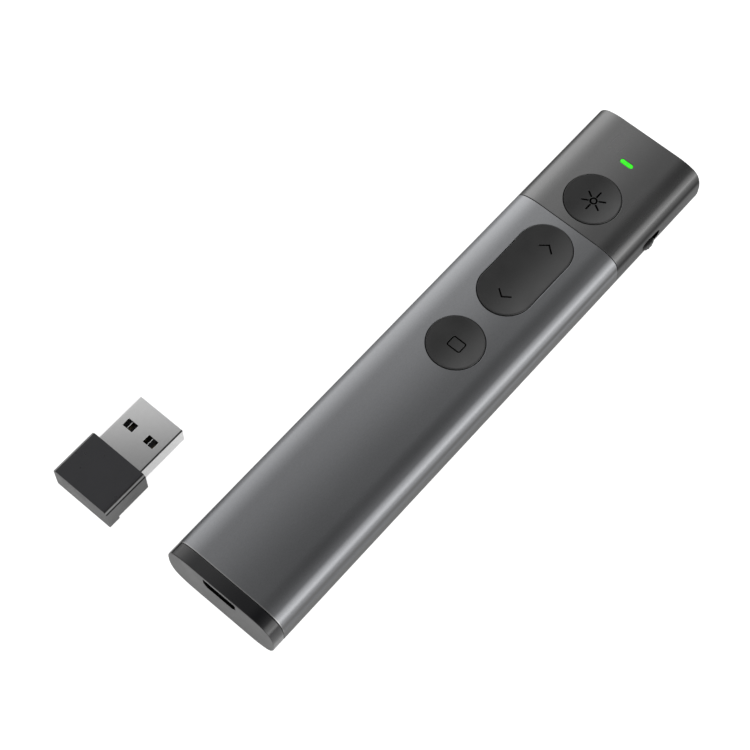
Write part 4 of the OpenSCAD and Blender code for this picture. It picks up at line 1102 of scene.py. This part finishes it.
# Cover: the profile (x, inset) over the outline, its front drawn in, (1 - t) outline + t mouth
def coverPiece():
    outline, steps = coverOutline()
    rear, front, end = cover["rear"], cover["front"], cover["endRound"]

    def loop(x, inset):
        return hullLoop(outline, steps, x, inset, coverMiddle)

    inward, along = quarterRound(end, 3)
    rows = [loop(rear, end)] + [loop(rear + end - a, i) for i, a in zip(inward[::-1], along[::-1])]
    rows += [loop(rear + mark, 0.0) for mark in cover["marks"]]
    rows += [loop(front - end + a, i) for i, a in zip(inward, along)]
    sides = range(2, len(rows) - 1)  # the loops of the outside, without those that bound its two ends
    ring = rows[-1][:, 1:]
    mouth = plugMouth(ring)
    rows += [atX(front, (1 - t) * ring + t * mouth) for t in cover["mouthShares"]]
    rows += [atX(x, mouth) for x in cover["pocket"]]
    lip = roundedBox(*cover["lip"])

    # Share of the way down the bevel, then its painted highlight line, exp(-((down - 1/2) / glint)^4),
    # between painted dark reflections; the highlight is fainter on the far side
    spots, facing = outlineAt(outline, steps)
    down = (cover["high"] - coverMiddle[1] - spots[:, 1]) / cover["bevel"]
    (top, foot), (steep, level) = cover["bevelDown"], cover["bevelUp"]
    slanted = (down > top) & (down < foot) & (facing[:, 1] > steep) & (facing[:, 1] < level)
    shine = slanted * np.exp(-((down - 0.5) / cover["glint"]) ** 4)
    line = slanted * (1 - shine)
    shine = shine * np.where(facing[:, 0] < 0, 1.0, cover["farGlint"])

    def spreadOut(level):
        body = [np.clip(level, 0, 1) * (i in sides) for i in range(-1, len(rows) + 1)]
        return np.concatenate(body + [np.zeros(len(lip[0]))])

    values = {"paintedBevelDark": spreadOut(line), "paintedBevelHighlight": spreadOut(shine)}
    piece = makePiece("receiverCover", [closedLoft(rows), lip], coverFinish(), values=values)
    takeOver(piece, "receiver", "cover_plastic", "receiver_cover")


# "paintedDarkEdgeY" and "paintedDarkEdgeZ" are the marks in mm that bound a painted dark reflection along the
# near upper edge
plugLook = {
    "light": 212, "dark": 205, "paintedDarkEdge": 40, "rough": 0.24, "grain": 0.1, "relief": 0.0006,
    "paintedDarkEdgeY": (31.12, 31.18), "paintedDarkEdgeZ": (5.98, 6.02),
    "crown": {"toward": (0.707, 0.707, 0), "middle": (-53.0, 36.9, 0), "span": 21.0, "depth": 0.65},
}


def plugFinish():
    look = plugLook
    work = Finish("plugSteel", {"Metallic": 1.0, "Roughness": look["rough"]})
    brushed = work.noise(look["grain"], 2.0, (6, 1, 1))
    metal = work.tones(brushed, shade(look["dark"]), shade(look["light"]))
    # Painted dark reflection along the near upper rounded edge
    paintedDarkEdge = work.times(work.until(work.axis("Y"), *look["paintedDarkEdgeY"]), work.past(work.axis("Z"), *look["paintedDarkEdgeZ"]))
    rough = work.about(brushed, look["rough"], 0.03)
    work.set({"Base Color": work.mix(paintedDarkEdge, metal, shade(look["paintedDarkEdge"])), "Roughness": rough})
    work.crown(**look["crown"])
    work.bump(brushed, look["relief"])
    return work.material


# Plug: a sheet shell with two windows above and two below, and a thin spring edge under each upper one
def plugPiece():
    outline, steps = plugOutline()
    near, far = plug["holeCells"]
    holes = []
    for start in outline["rows"][[3, 8], 0]:
        for side in (-1, 1):
            cells = tuple(sorted(nearest(steps, start + side * reach) for reach in (near, far)))
            holes.append(dict(plug["hole"], s=cells, at=start + side * plug["holeAt"]))
    surfaces = tubeWall(outline, steps, plug, holes, plugMiddle)
    springs = plug["springs"]
    for y in springs["y"]:
        low, high = zip(springs["x"], (y - springs["half"], y + springs["half"]), springs["z"])
        surfaces.append(roundedBox(low, high, springs["round"]))
    piece = makePiece("plugShell", surfaces, plugFinish())
    takeOver(piece, "receiver", "plug_steel", "receiver_plug_shell")


coverPiece()
plugPiece()
print("receiver made")

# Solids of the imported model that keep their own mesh, each with its finish
carried = {
    "blackPlastic": ("inner_tray", "usb_port_tongue", "receiver_bay", "laser_holder", "receiver_tongue"),
    "solderMask": ("main_board", "laser_driver_board", "receiver_board"),
    "brightSteel": ("board_screws", "rocker_pin"),
    "pouchFoil": ("battery",),
    "nickelPlate": (
        "battery_tabs", "crystal", "screen_switch", "back_switch", "forward_switch", "laser_switch",
    ),
    "chipResin": ("control_chip", "charge_chip"),
    "magnetPlate": ("bay_magnet",),
    "palePlastic": ("screen_stem", "back_stem", "forward_stem", "laser_stem", "rocker_cradle", "status_led"),
    "turnedBrass": ("laser_barrel",),
    "lensGlass": ("laser_lens",),
    "tintedWindow": ("laser_window",),
    # Painted shade: the contacts are dulled dark for the shade inside the plug
    "shadedContact": ("receiver_contacts",),
    # Painted shade: the port's shell and the power switch are near black for the shade in the port and in the
    # knob's slot
    "paintedShadeBlack": ("usb_port_shell", "power_switch"),
}
for finishName, names in carried.items():
    for name in names:
        solid = nodes[name]
        if not solid.material_slots:
            solid.data.materials.append(finishes[finishName])
        for entry in solid.material_slots:
            entry.material = finishes[finishName]
print("solids painted", sum(len(names) for names in carried.values()))


# Turns a thing so that its own axes lie along three directions, stands it at a place and links it
def stand(thing, place, right, up, back):
    turn = np.eye(4)
    turn[:3] = np.column_stack([right, up, back, place])
    thing.matrix_world = Matrix(turn.tolist())
    bpy.context.scene.collection.objects.link(thing)


# Camera: the photograph's own place (in mm) and turn
cameraLook = {
    "place": (-146.854, -104.957, 364.012), "right": (0.6544609, -0.7560765, 0.0054021),
    "up": (0.6759104, 0.5882412, 0.4439791), "back": (-0.3388599, -0.2869156, 0.8960209),
    "lens": 92.69, "sensor": 36,
}


def placeCamera():
    lens = bpy.data.cameras.new("photoCamera")
    lens.lens, lens.sensor_width = cameraLook["lens"], cameraLook["sensor"]
    camera = bpy.data.objects.new("photoCamera", lens)
    place = np.array(cameraLook["place"]) * mm
    stand(camera, place, cameraLook["right"], cameraLook["up"], cameraLook["back"])
    bpy.context.scene.camera = camera


# Lamps: each stands off in a direction from the object and faces it; power = level * pi * area
lampLook = {
    "leftSoft": {"toward": (0.47, 0.81, 0.34), "away": 1.0, "size": (1.0, 0.6), "level": 0.5},
    "rightStrip": {"toward": (0.30, -0.92, 0.22), "away": 1.0, "size": (1.3, 0.25), "level": 1.0},
}


def placeLamp(name, look):
    lamp = bpy.data.lights.new(name, "AREA")
    lamp.shape = "RECTANGLE"
    lamp.size, lamp.size_y = look["size"]
    lamp.energy = look["level"] * math.pi * look["size"][0] * look["size"][1]
    back = np.array(look["toward"]) / np.linalg.norm(look["toward"])
    side = np.array([1.0, 0.0, 0.0]) - back[0] * back
    side = side / np.linalg.norm(side)
    stand(bpy.data.objects.new(name, lamp), back * look["away"], side, np.cross(back, side), back)


# Room: white for the camera and low down all round. Above, its level in a direction d is
# base + sum of weight * max(0, d . toward) ^ narrow, so that metal keeps its soft light and dark bands.
# Each glow is (toward, narrow, weight).
roomLook = {
    "base": 0.05, "horizon": (0.04, 0.2),
    "glows": [
        ((0.47, 0.81, 0.34), 4, 1.4), ((-0.17, -0.98, 0.09), 4, 3.1), ((0.13, -0.75, 0.64), 16, 1.1),
        ((0.47, 0.17, 0.87), 30, 0.25), ((-0.75, 0.4, 0.5), 3, 0.75), ((0.95, 0.0, 0.3), 6, 0.15),
    ],
}


def makeRoom():
    world = bpy.data.worlds.new("studio")
    world.use_nodes = True
    bpy.context.scene.world = world
    work = Work(world.node_tree)
    place = work.add("ShaderNodeTexCoord").outputs["Generated"]
    level = roomLook["base"]
    for toward, narrow, weight in roomLook["glows"]:
        size = math.sqrt(sum(k * k for k in toward))
        facing = work.facing(place, tuple(k / size for k in toward))
        glow = work.maths("POWER", work.maths("MAXIMUM", facing, 0.0), narrow)
        level = work.maths("ADD", work.times(glow, weight), level)
    height = work.add("ShaderNodeSeparateXYZ", {0: place}).outputs["Z"]
    low = work.spread(height, 1.0, 0.0, *roomLook["horizon"], interpolation_type="SMOOTHSTEP")
    level = work.maths("MAXIMUM", work.maths("MAXIMUM", level, low), work.seen())
    work.feed(work.tree.nodes["Background"], {"Color": (1, 1, 1, 1), "Strength": level})


# Floor: pale, seen as white with a faint shadow, and as pale board by all other rays. "lit" answers to
# light and shadow, "own" is its own light; the shiny pair is what glossy surfaces mirror.
floorLook = {
    "half": 3.0, "drop": 0.02, "lit": 0.5, "own": 0.87, "board": 0.85, "shinyLit": 0.8, "shinyOwn": 0.5,
}


def makeFloor():
    look = floorLook
    half, z = look["half"], -look["drop"] * mm
    corners = [(-half, -half, z), (half, -half, z), (half, half, z), (-half, half, z)]
    mesh = bpy.data.meshes.new("floor")
    mesh.from_pydata(corners, [], [(0, 1, 2, 3)])
    material = bpy.data.materials.new("floorBoard")
    material.use_nodes = True
    work = Work(material.node_tree)
    work.tree.nodes.clear()

    def board(level):
        return work.add("ShaderNodeBsdfDiffuse", {"Color": (level,) * 3 + (1,)}).outputs[0]

    def whitened(lit, own):
        glow = work.add("ShaderNodeEmission", {"Strength": own}).outputs[0]
        return work.add("ShaderNodeAddShader", {0: board(lit), 1: glow}).outputs[0]

    def chosen(share, one, two):
        return work.add("ShaderNodeMixShader", {0: share, 1: one, 2: two}).outputs[0]

    glossy = work.add("ShaderNodeLightPath").outputs["Is Glossy Ray"]
    mirrored = chosen(glossy, board(look["board"]), whitened(look["shinyLit"], look["shinyOwn"]))
    whole = chosen(work.seen(), mirrored, whitened(look["lit"], look["own"]))
    work.add("ShaderNodeOutputMaterial", {"Surface": whole})
    mesh.materials.append(material)
    floor = bpy.data.objects.new("floor", mesh)
    bpy.context.scene.collection.objects.link(floor)


placeCamera()
for lampName, look in lampLook.items():
    placeLamp(lampName, look)
makeRoom()
makeFloor()
bpy.context.scene.view_settings.view_transform = "Standard"
print("camera, lamps, room and floor set")
